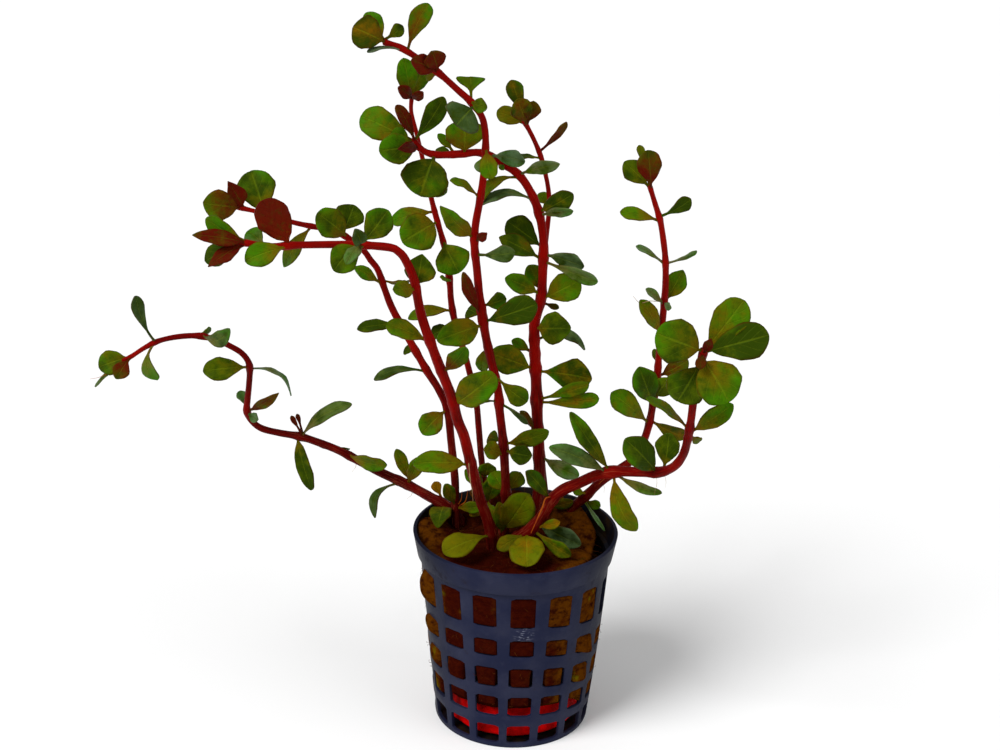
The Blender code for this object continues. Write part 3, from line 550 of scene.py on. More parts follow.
def wool_place(place):
    """Where the even block's point lies on the real, lumpy block."""
    radius = hypot(place.x, place.y)
    outward = Vector((place.x, place.y, 0.0)).normalized()
    moved = place.copy()
    matted = noise.fractal(place * 260.0, 0.9, 2.1, 4)
    coarse = noise.noise(place * 110.0)
    if place.z > PLUG_TOP - 0.5 * PLUG_EDGE:
        moved.z += (0.55 * coarse + 0.5 * matted) * MM
        for across, away, height, reach in WOOL_RELIEF:
            near = hypot(place.x - across * MM, place.y - away * MM) / (reach * MM)
            moved.z += height * MM * exp(-near * near)
        if radius > 0.1 * PLUG_TOP_RADIUS:
            edge_share = (radius / PLUG_TOP_RADIUS) ** 5
            moved += outward * wool_swelling(place, radius, 0.0) * edge_share * MM
    window = 0.0
    if place.z <= PLUG_TOP - 0.5 * PLUG_EDGE and radius > PLUG_FOOT_RADIUS * 0.8:
        window = in_window(place)
        filling = (wall_radius(place.z) - WINDOW_SETBACK - radius) / MM
        swelling = 0.3 * coarse + 0.3 * matted - 0.15 + window * (filling + 0.15 - 0.25 * matted)
        swelling += wool_swelling(place, radius, window)
        moved = pot_bent(moved + outward * swelling * MM)
    moved.x += PLUG_SHIFT * place.z / PLUG_TOP * (1.0 - window)
    return moved


wool_mesh = turned(plug_profile(), WOOL_STEPS_AROUND)
brim = wool_mesh.verts.layers.float.new("brim")
for corner in wool_mesh.verts:
    if hypot(corner.co.x, corner.co.y) > PLUG_FOOT_RADIUS * 0.9:
        aside = abs(window_steps(corner.co)) / (COLUMN_STEPS / 2)
        corner[brim] = in_window(corner.co) * aside * aside
    corner.co = wool_place(corner.co)
bmesh.ops.recalc_face_normals(wool_mesh, faces=wool_mesh.faces)

wool = Finish("rockwool", Specular_IOR_Level=0.0)
wool_at = wool.place()
felted = wool.grain(wool.stretched(wool_at, (1.0, 1.0, 1.5)), 480.0, 7.0, 0.66)
threads = wool.grain(wool.stretched(wool_at, (1.0, 1.0, 2.4)), 1900.0, 3.0, 0.7)
patches = wool.grain(wool_at, 150.0, 4.0, 0.6)
wool_right = wool.between(wool.part(wool_at, "X"), 3.0 * MM, 14.0 * MM)
at_brim = wool.attribute("brim")
wool_left = 1.0 - wool.between(wool.part(wool_at, "X"), -21.0 * MM, -14.5 * MM)
dry = wool.between(wool_right + wool_left + at_brim * 0.8 + (patches - 0.5) * 2.2, 0.25, 1.0)
mossy = wool.between(wool.grain(wool_at, 230.0, 3.0), 0.6, 0.72) * dry
wet_front = wool.between(wool.part(wool_at, "Y") * -1.0, -6.0 * MM, 12.0 * MM) * (1.0 - dry)
wool.colour = WOOL_DARK
wool.lay(WOOL_BROWN, wool.between(felted, 0.36, 0.64))
wool.lay(WOOL_GOLD, dry * wool.between(felted, 0.3, 0.6))
wool.lay(WOOL_MOSS, mossy * 0.7)
wool.lay(WOOL_RED, wet_front * 0.45)
wool.lay(WOOL_GOLD, wool.between(threads, 0.6, 0.72) * 0.35)
wool.set(Base_Color=wool.colour, Roughness=0.9,
         Normal=wool.bump(felted + threads * 0.35, 0.5 * MM))
plug = piece(wool_mesh, "plug", wool)
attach(plug, "root")
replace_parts(plug, "rockwool_plug")


# Loose wool fibres
# Single fibres stand up from the block's top and curl out of the windows.
# Each is a hair of about a tenth of a millimetre.

FIBRE_RADIUS = 0.05 * MM
TOP_FIBRES = 420
WINDOW_FIBRES = 120


def chance(*seeds):
    """The same number from 0 to 1 for the same seeds, on every run."""
    total = sum(seed * weight for seed, weight in zip(seeds, (12.9898, 78.233, 37.719, 9.151)))
    return (sin(total) * 43758.5453) % 1.0


def thread(curve, points, radius):
    """A fine round thread through the points, thinner at its ends."""
    line = curve.splines.new('POLY')
    line.points.add(len(points) - 1)
    for index, (knot, point) in enumerate(zip(line.points, points)):
        share = index / (len(points) - 1)
        knot.co = (*point, 1.0)
        knot.radius = radius * (1.0 - 0.6 * abs(2 * share - 1))


def threads_piece(curve, name, finish):
    """The threads made one mesh at the origin."""
    curve.dimensions = '3D'
    curve.bevel_depth = 1.0
    curve.bevel_resolution = 0
    drawn = bpy.data.objects.new(name + " line", curve)
    bpy.context.scene.collection.objects.link(drawn)
    mesh = bpy.data.meshes.new_from_object(drawn.evaluated_get(bpy.context.evaluated_depsgraph_get()))
    bpy.data.objects.remove(drawn)
    mesh.name = name
    mesh.materials.clear()
    mesh.materials.append(finish.material)
    mesh.shade_smooth()
    item = bpy.data.objects.new(name, mesh)
    bpy.context.scene.collection.objects.link(item)
    return item


def top_fibre(number):
    """The points of a fibre that stands up from the block's top and curls over."""
    turn = 2 * pi * chance(number, 1)
    radius = PLUG_TOP_RADIUS * 0.96 * chance(number, 2) ** 0.5
    root = wool_place(Vector((radius * cos(turn), radius * sin(turn), PLUG_TOP)))
    lean = Vector((chance(number, 3) - 0.5, chance(number, 4) - 0.5, 0.35 * chance(number, 5)))
    length = (1.2 + 2.2 * chance(number, 6)) * MM
    curl = Vector((chance(number, 7) - 0.5, chance(number, 8) - 0.5, -0.5)) * length
    return [root - Vector((0, 0, 0.2 * MM))] + [
        root + lean.normalized() * length * share + curl * share * share for share in (0.3, 0.65, 1.0)]


def window_fibre(number):
    """The points of a fibre that curls out of a window, or none where that is too low."""
    column = int(chance(number, 11) * WINDOW_COLUMNS)
    low, high = WINDOW_ROWS[1 + int(chance(number, 12) * 4)]
    height = (low + (high - low) * (0.15 + 0.7 * chance(number, 13))) * MM
    if height < PLUG_FOOT + 1 * MM:
        return []
    turn = FIRST_COLUMN + (column + 0.55 * (chance(number, 14) - 0.5)) * 2 * pi / WINDOW_COLUMNS
    radius = plug_radius(height)
    root = wool_place(Vector((radius * cos(turn), radius * sin(turn), height)))
    outward = Vector((cos(turn), sin(turn), 0.0))
    reach = (0.3 + 0.6 * chance(number, 15)) * MM
    drop = Vector((0, 0, chance(number, 16) - 0.62)) * 1.8 * MM
    aside = Vector((-sin(turn), cos(turn), 0.0)) * (chance(number, 17) - 0.5) * 2.6 * MM
    return [root - outward * 0.3 * MM, root + outward * reach * 0.6 + aside * 0.3,
            root + outward * reach + aside * 0.7 + drop * 0.5,
            root + outward * reach * 0.7 + aside + drop]


fibre_curve = bpy.data.curves.new("fibres", 'CURVE')
for points in [*map(top_fibre, range(TOP_FIBRES)), *map(window_fibre, range(WINDOW_FIBRES))]:
    if points:
        thread(fibre_curve, points, FIBRE_RADIUS)
dry_fibre = Finish("dry fibre", Roughness=0.8, Specular_IOR_Level=0.05)
fibre_tone = dry_fibre.between(dry_fibre.grain(dry_fibre.place(), 240.0, 3.0), 0.35, 0.65)
dry_fibre.set(Base_Color=dry_fibre.mixed(fibre_tone, WOOL_BROWN, WOOL_GOLD))
fibres = threads_piece(fibre_curve, "fibres", dry_fibre)
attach(fibres, "root")


# Far left stem
# Every stem is a round, juicy, dark red shoot with a slight swelling where a
# pair of leaves sits. This one lies over the rim and reaches far to the left.

STEM_SIDES = 14
RING_SPACING = 0.9 * MM
NODE_SWELLING = 0.16
NODE_REACH = 1.1 * MM
STEM_UNEVEN = 0.05
STEM_START = 3.6 * MM
BARK_REPEAT = 10 * MM
STEM_RED = shown(108, 1, 1)
STEM_BRIGHT_AND_PAINTED_LIGHT = shown(146, 10, 2)
STEM_DARK_AND_PAINTED_SHADE = shown(66, 1, 1)
STEM_PAINTED_FOOT_SHADE = shown(40, 4, 3)
STEM_STREAK = shown(150, 78, 50)

LEAF_THICKNESS = 0.34 * MM
LEAF_ACROSS = 8
LEAF_ALONG = 16
LEAF_FOLD = 0.12
# How far out in the stem a stalk starts, as a part of the stem's radius
LEAF_SEAT = 0.85
PETIOLE = 0.9 * MM
PETIOLE_WIDTH = 0.6 * MM
PETIOLE_TIP = 0.02 * MM
# How uneven a blade's outline is, in long and in short waves, and how far its
# edge waves up and down, as parts of half its width
OUTLINE_WAVE = 0.045
OUTLINE_RIPPLE = 0.03
EDGE_WAVE = 0.13
# What a blade is like where its row doesn't say otherwise
LEAF_FORM = {"fullest": 0.6, "point": 0.58, "bend": 0.0, "grey": 0.0, "warm": 0.0}
LEAF_GREEN = shown(67, 82, 1)
LEAF_BRIGHT = shown(56, 108, 1)
LEAF_DEEP = shown(39, 55, 1)
LEAF_OLIVE = shown(98, 76, 1)
LEAF_YOUNG = shown(98, 92, 1)
LEAF_GOLD = shown(122, 80, 2)
LEAF_RED = shown(80, 8, 2)
LEAF_FOOT = shown(104, 28, 4)
LEAF_RIB = shown(128, 146, 20)
# Painted sheen: a grey-green reflection laid on some leaves as colour
PAINTED_LEAF_SHEEN = shown(92, 118, 88)
LEAF_BACK = shown(66, 68, 12)
LEAF_BACK_RED = shown(96, 5, 2)


def seen_at(across, down, depth):
    """The point at this place in the photograph's view, on the plane y = depth."""
    ray = Vector(((across - VIEW_CENTRE[0]) / VIEW_FOCUS, 1.0, (VIEW_CENTRE[1] - down) / VIEW_FOCUS))
    ray = view_turn @ ray
    return VIEW_PLACE + ray * ((depth - VIEW_PLACE.y) / ray.y)


def smooth_line(points, spacing):
    """A Catmull-Rom curve through the points, read at even steps."""
    ends = [points[0] * 2 - points[1]] + points + [points[-1] * 2 - points[-2]]
    fine = []
    for index in range(1, len(ends) - 2):
        before, first, second, after = ends[index - 1:index + 3]
        for step in range(24):
            t = step / 24
            fine.append(0.5 * (2 * first + (second - before) * t
                               + (2 * before - 5 * first + 4 * second - after) * t * t
                               + (3 * first - before - 3 * second + after) * t ** 3))
    fine.append(points[-1])
    lengths = [0.0]
    for first, second in zip(fine, fine[1:]):
        lengths.append(lengths[-1] + (second - first).length)
    count = max(2, round(lengths[-1] / spacing))
    line = []
    index = 0
    for step in range(count + 1):
        wanted = lengths[-1] * step / count
        while index < len(fine) - 2 and lengths[index + 1] < wanted:
            index += 1
        span = lengths[index + 1] - lengths[index]
        line.append(fine[index].lerp(fine[index + 1], (wanted - lengths[index]) / span))
    return line


def stem_axis(diameters, path):
    """The stem's middle line from inside the plug to its tip, and its radii."""
    seen = [seen_at(across, down, away * MM) for across, down, away in path]
    seen[0].z = PLUG_TOP
    line = [seen[0] - Vector((0, 0, STEM_START))] + smooth_line(seen, RING_SPACING)
    radii = []
    for index in range(len(line)):
        share = index / (len(line) - 1)
        spot = share * (len(diameters) - 1)
        low = min(int(spot), len(diameters) - 2)
        radii.append((diameters[low] + (diameters[low + 1] - diameters[low]) * (spot - low)) / 2 * MM)
    return line, radii


def nearest_on(axis, across, down):
    """The number of the axis point nearest to a place in the view."""
    def gap(index):
        seen = view_turn.transposed() @ (axis[0][index] - VIEW_PLACE)
        return hypot(VIEW_CENTRE[0] + VIEW_FOCUS * seen.x / seen.y - across,
                     VIEW_CENTRE[1] - VIEW_FOCUS * seen.z / seen.y - down)
    return min(range(1, len(axis[0])), key=gap)


def shoot(name, axis, joints, finish):
    """The stem's skin, a tube that swells at its joints and closes at its tip."""
    line, radii = axis
    mesh = bmesh.new()
    around = mesh.loops.layers.uv.new("UVMap")
    rims = []
    side = Vector((1.0, 0.0, 0.0))
    for index, point in enumerate(line):
        along = (line[min(index + 1, len(line) - 1)] - line[max(index - 1, 0)]).normalized()
        side = (side - along * side.dot(along)).normalized()
        up = along.cross(side)
        radius = radii[index]
        for joint in joints:
            off = abs(index - joint) * RING_SPACING / NODE_REACH
            radius += radii[index] * NODE_SWELLING * exp(-off * off)
        radius *= 1.0 + STEM_UNEVEN * noise.noise(Vector((index * 0.35, 7.3, radii[0] * 9000)))
        place = Matrix((side, up, along)).transposed().to_4x4()
        place.translation = point
        circle = bmesh.ops.create_circle(mesh, segments=STEM_SIDES, radius=radius, matrix=place)
        rims.append(list(dict.fromkeys(edge for corner in circle["verts"] for edge in corner.link_edges)))
    for first, second in zip(rims, rims[1:]):
        bmesh.ops.bridge_loops(mesh, edges=first + second)
    mesh.verts.index_update()
    for face in mesh.faces:
        places = [divmod(loop.vert.index, STEM_SIDES) for loop in face.loops]
        at_seam = {0, STEM_SIDES - 1} <= {corner for _, corner in places}
        for loop, (ring, corner) in zip(face.loops, places):
            turn = STEM_SIDES if at_seam and corner == 0 else corner
            loop[around].uv = (turn / STEM_SIDES, ring * RING_SPACING / BARK_REPEAT)
    for rim, point, out in ((rims[0], line[0], -1), (rims[-1], line[-1], 1)):
        cap = bmesh.ops.contextual_create(mesh, geom=rim)["faces"]
        tip = bmesh.ops.poke(mesh, faces=cap)["verts"][0]
        tip.co = point + (line[-1] - line[-2]).normalized() * out * radii[-1] * 0.8
    bmesh.ops.recalc_face_normals(mesh, faces=mesh.faces)
    skin = piece(mesh, name, finish)
    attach(skin, "root")
    return skin


def blade_outline(share, fullest, point):
    """Half the blade's width along its length, as a part of its full width."""
    return sin(pi * share ** (log(0.5) / log(fullest))) ** point / 2


def leaf_lie(axis, index, tip_seen, nearer, width):
    """A blade's foot on the stem, its tip, and the direction from it to the view."""
    line, radii = axis
    stem_along = (line[min(index + 1, len(line) - 1)] - line[index - 1]).normalized()
    foot = line[index]
    tip = seen_at(*tip_seen, foot.y - nearer * MM)
    towards_view = width * MM if nearer > 0 else -width * MM
    out = tip - foot + (VIEW_PLACE - foot).normalized() * towards_view
    out = (out - stem_along * out.dot(stem_along)).normalized()
    foot = foot + out * radii[index] * LEAF_SEAT
    along = (tip - foot).normalized()
    facing = VIEW_PLACE - (foot + tip) / 2
    return foot, tip, (facing - along * facing.dot(along)).normalized()


def grow_leaf(mesh, axis, row, number):
    """A blade on its stalk, added to a mesh with its colouring on every corner."""
    leaves_at, tip_seen, nearer, width, turn, arch, tint = row[:7]
    form = LEAF_FORM | (row[7] if len(row) > 7 else {})
    foot, tip, facing = leaf_lie(axis, nearest_on(axis, *leaves_at), tip_seen, nearer, width)
    along = (tip - foot).normalized()
    length = (tip - foot).length
    stalk = min(PETIOLE / length, 0.25)
    stem_tip = axis[0][-1]
    shade = chance(number, stem_tip.x * 1000)
    colouring = {"tint": tint, "grey": form["grey"], "warm": form["warm"], "shade": shade}
    layers = {name: mesh.verts.layers.float.get(name) or mesh.verts.layers.float.new(name)
              for name in colouring}
    if not mesh.loops.layers.uv:
        mesh.loops.layers.uv.new("UVMap")
    fold = LEAF_FOLD * (0.5 + 1.3 * chance(number, stem_tip.z * 1000))
    normal = facing * cos(radians(turn)) + along.cross(facing) * sin(radians(turn))
    side = along.cross(normal)
    aside = along.cross(facing) * form["bend"] * length
    grid = bmesh.ops.create_grid(mesh, x_segments=LEAF_ACROSS, y_segments=LEAF_ALONG, size=1.0,
                                 calc_uvs=True)
    # s runs from -1 to 1 across the blade, and t from 0 at its foot to 1 at its tip
    for corner in grid["verts"]:
        s = corner.co.x
        t = (1 - cos(pi * (corner.co.y + 1) / 2)) / 2
        blade = min(max(0.0, (t - stalk) / (1 - stalk)), 0.9999)
        half = width * MM * blade_outline(blade, form["fullest"], form["point"])
        edge_side = 1.7 if s > 0 else 0.0
        half *= (1 + OUTLINE_WAVE * sin(8 * t + 6 * shade + edge_side)
                 + OUTLINE_RIPPLE * sin(21 * t + 17 * shade + 2 * edge_side))
        half = max(half, 0.5 * PETIOLE_WIDTH * (1 - t) ** 0.5 + PETIOLE_TIP)
        swing = 2 * pi * (2.1 * t + shade) + (1.5 if s > 0 else 0.0)
        wave = EDGE_WAVE * half * sin(swing) * s * s
        rise = arch * length * 4 * t * (1 - t)
        lift = fold * half * abs(s) ** 1.4 + wave
        corner.co = (foot + along * length * t + aside * 4 * t * (1 - t)
                     + side * half * s + normal * (rise + lift))
        for name, value in colouring.items():
            corner[layers[name]] = value


def leaf_finish(name, back):
    """Green skin, brown at its foot and paler along its midrib and side veins."""
    skin = Finish(name, Specular_IOR_Level=0.07, Specular_Tint=(0.4, 0.7, 0.15, 1.0))
    across = skin.add("ShaderNodeUVMap", {"uv_map": "UVMap"})
    # u runs from 0 at the midrib to 1 at the edge, and v from 0 at the foot to 1 at the tip
    u = abs(skin.part(across, "X") - 0.5) * 2.0
    v = skin.part(across, "Y")
    tint, shade, grey, golden = map(skin.attribute, ("tint", "shade", "grey", "warm"))
    place = skin.place()
    blotch = skin.grain(place, 260.0, 4.0, 0.62)
    cloud = skin.grain(place, 95.0, 2.0)
    fleck = skin.grain(place, 1300.0, 3.0, 0.6)
    warm = (1.0 - skin.between(v, 0.1, 0.8)) * 0.55 + (blotch - 0.5) * 1.3 + (shade - 0.5) * 0.6 + 0.06
    pale = tint * -1.0 + (blotch - 0.5) * 0.3
    gold = golden * 1.3 + (blotch - 0.5) * 1.4 - u * 0.3
    red = tint * 1.35 + (0.5 - v) * 0.4 + (blotch - 0.5) * 1.3 - 0.3
    rib = 1.0 - skin.between(u, 0.015, 0.09)
    slant = (v + u * -0.32) * 7.0
    wave = abs(slant.maths('FRACT', slant) - 0.5) * 2.0
    vein = (1.0 - skin.between(wave, 0.0, 0.2)) * (1.0 - skin.between(u, 0.5, 0.95))
    lines = (rib * (1.0 - v * 0.7) * 0.3 + vein * 0.08) * (1.0 - skin.between(tint, 0.3, 1.0) * 0.6)
    mottle = skin.grain(place, 640.0, 5.0, 0.7)
    skin.colour = LEAF_DEEP
    skin.lay(LEAF_GREEN, skin.between(blotch + (shade - 0.5) * 0.35, 0.34, 0.62))
    skin.lay(LEAF_BRIGHT, skin.between(cloud + u * 0.12 + (shade - 0.5) * 0.25, 0.5, 0.72) * 0.75)
    skin.lay(LEAF_OLIVE, skin.between(warm, 0.15, 0.85))
    skin.lay(LEAF_YOUNG, skin.between(pale, 0.05, 0.9))
    skin.lay(LEAF_GOLD, skin.between(gold, 0.3, 1.1))
    skin.lay(LEAF_RED, skin.between(red, 0.15, 0.85))
    skin.lay(LEAF_RIB, lines)
    skin.lay(LEAF_FOOT, (1.0 - skin.between(v, 0.02, 0.14)) * 0.75)
    skin.lay(LEAF_RED, skin.between(u, 0.86, 0.99) * 0.35)
    if back:
        skin.lay(LEAF_BACK, 0.5)
        skin.lay(LEAF_BACK_RED, skin.between(tint + (blotch - 0.5) * 0.3, 0.2, 0.9) * 0.9)
    # Painted sheen: a grey-green reflection painted in blotches on the leaves given one
    skin.lay(PAINTED_LEAF_SHEEN, grey * skin.between(blotch, 0.3, 0.62) * (0.45 + u * 0.35))
    skin.lay(LEAF_DEEP, skin.between(mottle, 0.5, 0.68) * 0.4)
    skin.lay(LEAF_OLIVE, skin.between(fleck, 0.6, 0.75) * 0.2)
    relief = blotch * 0.5 + fleck * 0.25 - rib * 0.5 - vein * 0.35
    skin.set(Base_Color=skin.colour, Roughness=0.36 + blotch * 0.3,
             Normal=skin.bump(relief, 0.2 * MM))
    return skin


leaf_top = leaf_finish("leaf upper skin", False)
leaf_under = leaf_finish("leaf underside", True)


def leaf_piece(mesh, name):
    """Blades made one piece and given their thickness."""
    bmesh.ops.remove_doubles(mesh, verts=mesh.verts, dist=MERGE / 5)
    blade = piece(mesh, name, leaf_top, leaf_under)
    flesh = blade.modifiers.new("flesh", 'SOLIDIFY')
    flesh.thickness = LEAF_THICKNESS
    flesh.offset = 0.0
    flesh.material_offset = 1
    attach(blade, "root")
    return blade


def stem_finish():
    """Dark red skin streaked along the stem, painted brighter higher up as painted light and darker near
    its foot as painted shade.
    """
    bark = Finish("stem skin", Specular_IOR_Level=0.05, Specular_Tint=(1.0, 0.12, 0.08, 1.0))
    wrapped = bark.add("ShaderNodeUVMap", {"uv_map": "UVMap"})
    turn = bark.part(wrapped, "X") * (2 * pi)
    rounded = bark.add("ShaderNodeCombineXYZ", None, {
        0: bark.add("ShaderNodeMath", {"operation": 'COSINE'}, {0: turn}),
        1: bark.add("ShaderNodeMath", {"operation": 'SINE'}, {0: turn}),
        2: bark.part(wrapped, "Y") * 0.7})
    streaky = bark.grain(rounded, 2.6, 5.0, 0.65)
    fine = bark.grain(bark.stretched(rounded, (2.0, 2.0, 0.5)), 7.0, 4.0, 0.6)
    patch = bark.grain(bark.place(), 90.0, 3.0)
    height = bark.part(bark.place(), "Z")
    foot = 1.0 - bark.between(height, 55 * MM, 74 * MM)
    low = 1.0 - bark.between(height, 50 * MM, 100 * MM)
    high = bark.between(height, 80 * MM, 150 * MM)
    bark.colour = STEM_DARK_AND_PAINTED_SHADE
    bark.lay(STEM_RED, bark.between(streaky, 0.36, 0.62))
    bark.lay(STEM_BRIGHT_AND_PAINTED_LIGHT, bark.between(patch, 0.42, 0.7) * 0.7)
    # Painted light: the stem is painted brighter higher up
    bark.lay(STEM_BRIGHT_AND_PAINTED_LIGHT, high * 0.45)
    # Painted shade: the stem is painted darker low down and darker still near the plug
    bark.lay(STEM_DARK_AND_PAINTED_SHADE, low * 0.5)
    bark.lay(STEM_PAINTED_FOOT_SHADE, foot * 0.45)
    bark.lay(STEM_STREAK, bark.between(fine, 0.55, 0.67) * (0.12 + low * 0.65))
    bark.set(Base_Color=bark.colour, Roughness=0.3 + streaky * 0.25,
             Normal=bark.bump(fine + streaky * 0.5, 0.12 * MM))
    return bark


stem_skin = stem_finish()


def grow(name, diameters, path, leaves):
    """A stem and its leaves, each in the place of the solid of the same name."""
    axis = stem_axis(diameters, path)
    joints = sorted({nearest_on(axis, *row[0]) for row in leaves})
    skin = shoot(f"{name}_stem", axis, joints, stem_skin)
    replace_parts(skin, f"stem_{name}")
    small = bmesh.new()
    for number, row in enumerate(leaves, 1):
        solid = f"leaf_{name}_{number:02d}"
        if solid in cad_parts:
            mesh = bmesh.new()
            grow_leaf(mesh, axis, row, number)
            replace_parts(leaf_piece(mesh, f"{name}_leaf_{number:02d}"), solid)
        else:
            grow_leaf(small, axis, row, number)
    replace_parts(leaf_piece(small, f"{name}_small_leaves"), f"stem_{name}")
    return axis


FAR_LEFT_DIAMETERS = (2.8, 2.6, 2.3, 2.0, 1.75, 1.6, 1.5, 1.4, 1.0)
# Across and down in the view, then millimetres away from the pot's middle
FAR_LEFT_PATH = [
    (460, 520, 10), (452, 511, 10.5), (443, 504, 11.5), (430, 497, 13), (410, 486, 15.5),
    (380, 472, 17), (360, 461.5, 17.5), (340, 451, 17.5), (320, 443, 17), (300, 436.5, 16),
    (280, 433, 15), (262, 428.5, 14), (252, 421, 13), (247, 411, 12), (247.5, 400, 11),
    (249, 385, 10), (249.8, 370, 9), (248, 361, 8), (241, 352.5, 7), (230, 346, 6),
    (218, 340.5, 5), (200, 336, 4), (180, 336.5, 3), (160, 340.5, 2), (145, 347.5, 1),
    (132, 356, 0), (123, 361, -1)]
# Where a leaf leaves the stem and where its tip is in the view, how far the tip
# is nearer the camera, its width, the turn of its blade in degrees, its arch and
# its tint from -1 yellow-green over 0 green to 1 dark red. Then, if unlike most:
# the share of its length where it is fullest, how pointed it is, how far it bends
# aside as a part of its length, its painted sheen and its gold
FAR_LEFT_LEAVES = [
    ((153, 341), (135, 296), 4, 3.4, 20, 0.1, 0.1, dict(fullest=0.8, bend=-0.09, grey=0.3)),
    ((153, 344), (157, 380), 3, 3.9, 25, 0.1, 0.1, dict(fullest=0.74, bend=0.18, grey=0.2)),
    ((203, 337), (230, 329), 6, 4.2, 25, 0.05, 0.0, dict(fullest=0.55, bend=0.16, grey=0.3)),
    ((199, 335), (211, 328), -3, 1.8, 45, 0.05, 0.1, dict(grey=0.9)),
    ((249, 366), (203, 371), 3, 6.0, 8, 0.1, 0.0, dict(fullest=0.63)),
    ((250, 369), (291, 396), -2, 3.6, -74, 0.22, 0.2, dict(grey=1.0)),
    ((247, 410), (279, 393), 4, 3.0, 30, 0.06, 0.7, dict(fullest=0.5, point=0.9)),
    ((247, 409), (240, 391), -4, 3.2, 25, 0.08, 0.0, dict(grey=0.6)),
    ((248, 413), (258, 420), 4, 2.6, 20, 0.05, 0.0, dict(grey=0.7)),
    ((301, 436), (352, 404), 3, 4.6, -45, 0.12, 0.1, dict(fullest=0.62, grey=0.3)),
    ((299, 437), (312, 490), 3, 3.9, 20, 0.08, 0.0, dict(fullest=0.5, point=0.42)),
    ((301, 436), (291, 416), 3, 1.4, 0, 0.05, 0.8, dict(fullest=0.82)),
    ((301, 436), (297, 414), 1, 1.2, 20, 0.05, 0.8, dict(fullest=0.84)),
    ((303, 437), (350, 449), -4, 4.0, 78, 0.05, 0.2),
    ((350, 456), (387, 465), 5, 4.8, 40, 0.1, 0.1),
    ((399, 481), (375, 518), 5, 2.9, 35, 0.2, 0.2, dict(fullest=0.66, bend=0.16, grey=0.3)),
    ((407, 484), (396, 449), -2, 3.4, 10, 0.08, 0.4),
    ((407, 484), (419, 457), 3, 4.0, 15, 0.08, 0.2),
    ((446, 504), (438, 528), 10, 5.8, 20, 0.1, 0.0, dict(fullest=0.36)),
    ((440, 501), (434, 482), -2, 2.8, 10, 0.05, 0.3, dict(fullest=0.7, warm=1.0)),
    ((129, 357), (116, 379), 4, 4.2, 10, 0.12, 0.7, dict(point=0.7)),
    ((129, 357), (99, 367), 0, 6.2, 10, 0.12, 0.0, dict(fullest=0.55)),
    ((124, 361), (95, 387), 1, 1.5, 60, 0.05, 0.3, dict(grey=0.8)),
]

far_left_axis = grow("far_left", FAR_LEFT_DIAMETERS, FAR_LEFT_PATH, FAR_LEFT_LEAVES)


# Front left stem
# It rises from the front of the plug, leans left and lays its long end flat
# towards the left, ending in a red tuft.

FRONT_LEFT_DIAMETERS = (2.8, 2.7, 2.6, 2.4, 2.2, 1.9, 1.7, 1.5)
FRONT_LEFT_PATH = [
    (492, 547, -5.4), (491, 535, -6.2), (487.5, 520, -7.2), (480.5, 500, -9), (475, 480, -11),
    (470, 460, -13), (464, 436, -15), (457.5, 420, -16), (452.5, 400, -17), (445, 380, -18),
    (437, 360, -19), (426, 330, -20), (420, 310, -20), (414, 280, -21), (405.5, 260, -21.5),
    (399, 252, -22), (390, 247.5, -22), (362, 245, -22.5), (340, 244.5, -23),
    (300, 245, -24), (270, 246.5, -25), (246, 243, -26), (236, 242, -26.5)]
FRONT_LEFT_LEAVES = [
    ((246, 241), (206, 218), 1, 4.6, -30, 0.06, 0.1, dict(fullest=0.66)),
    ((246, 243), (192, 235), 4, 3.8, 20, 0.08, 0.85, dict(fullest=0.45, point=0.8)),
    ((246, 244), (205, 261), -2, 5.2, 10, 0.1, 0.2, dict(point=0.75)),
    ((246, 244), (208, 267), 5, 3.8, 30, 0.08, 0.9, dict(fullest=0.45, point=0.95)),
    ((288, 246), (262, 201), 5, 7.6, 175, 0.1, 1.0, dict(fullest=0.5, point=0.5)),
    ((266, 246), (248, 231), -4, 4.4, 15, 0.05, 0.0, dict(grey=0.5)),
    ((286, 247), (245, 261), 3, 5.8, 15, 0.1, 0.2),
    ((361, 243), (388, 210), -3, 6.6, 8, 0.08, 0.0),
    ((360, 247), (355, 229), 6, 3.4, 20, 0.2, 0.1, dict(grey=0.3)),
    ((361, 246), (334, 271), 5, 6.6, 10, 0.12, 0.0, dict(fullest=0.6, bend=0.08)),
    ((419, 288), (393, 290), 5, 4.2, 15, 0.1, 0.0, dict(fullest=0.5)),
    ((419, 288), (422, 254), -3, 7.2, 8, 0.08, 0.3, dict(fullest=0.36, point=0.8)),
    ((429, 342), (386, 324), -3, 4.8, 20, 0.08, 0.0),
    ((441, 369), (466, 347), 4, 4.8, 30, 0.06, 0.5),
    ((456, 402), (495, 374), 4, 7.6, 10, 0.08, 0.1, dict(fullest=0.52, point=0.42)),
    ((469, 462), (413, 464), 6, 6.0, 20, 0.1, 0.2),
    ((490, 533), (443, 553), 10, 6.8, 20, 0.1, -0.6, dict(fullest=0.74, warm=0.2)),
    ((361, 244), (346, 264), 8, 3.2, 30, 0.14, 0.1, dict(grey=0.4)),
]

front_left_axis = grow("front_left", FRONT_LEFT_DIAMETERS, FRONT_LEFT_PATH, FRONT_LEFT_LEAVES)


# Back left stem
# A thinner shoot behind the front left one, with a tuft of round leaves at
# its end.

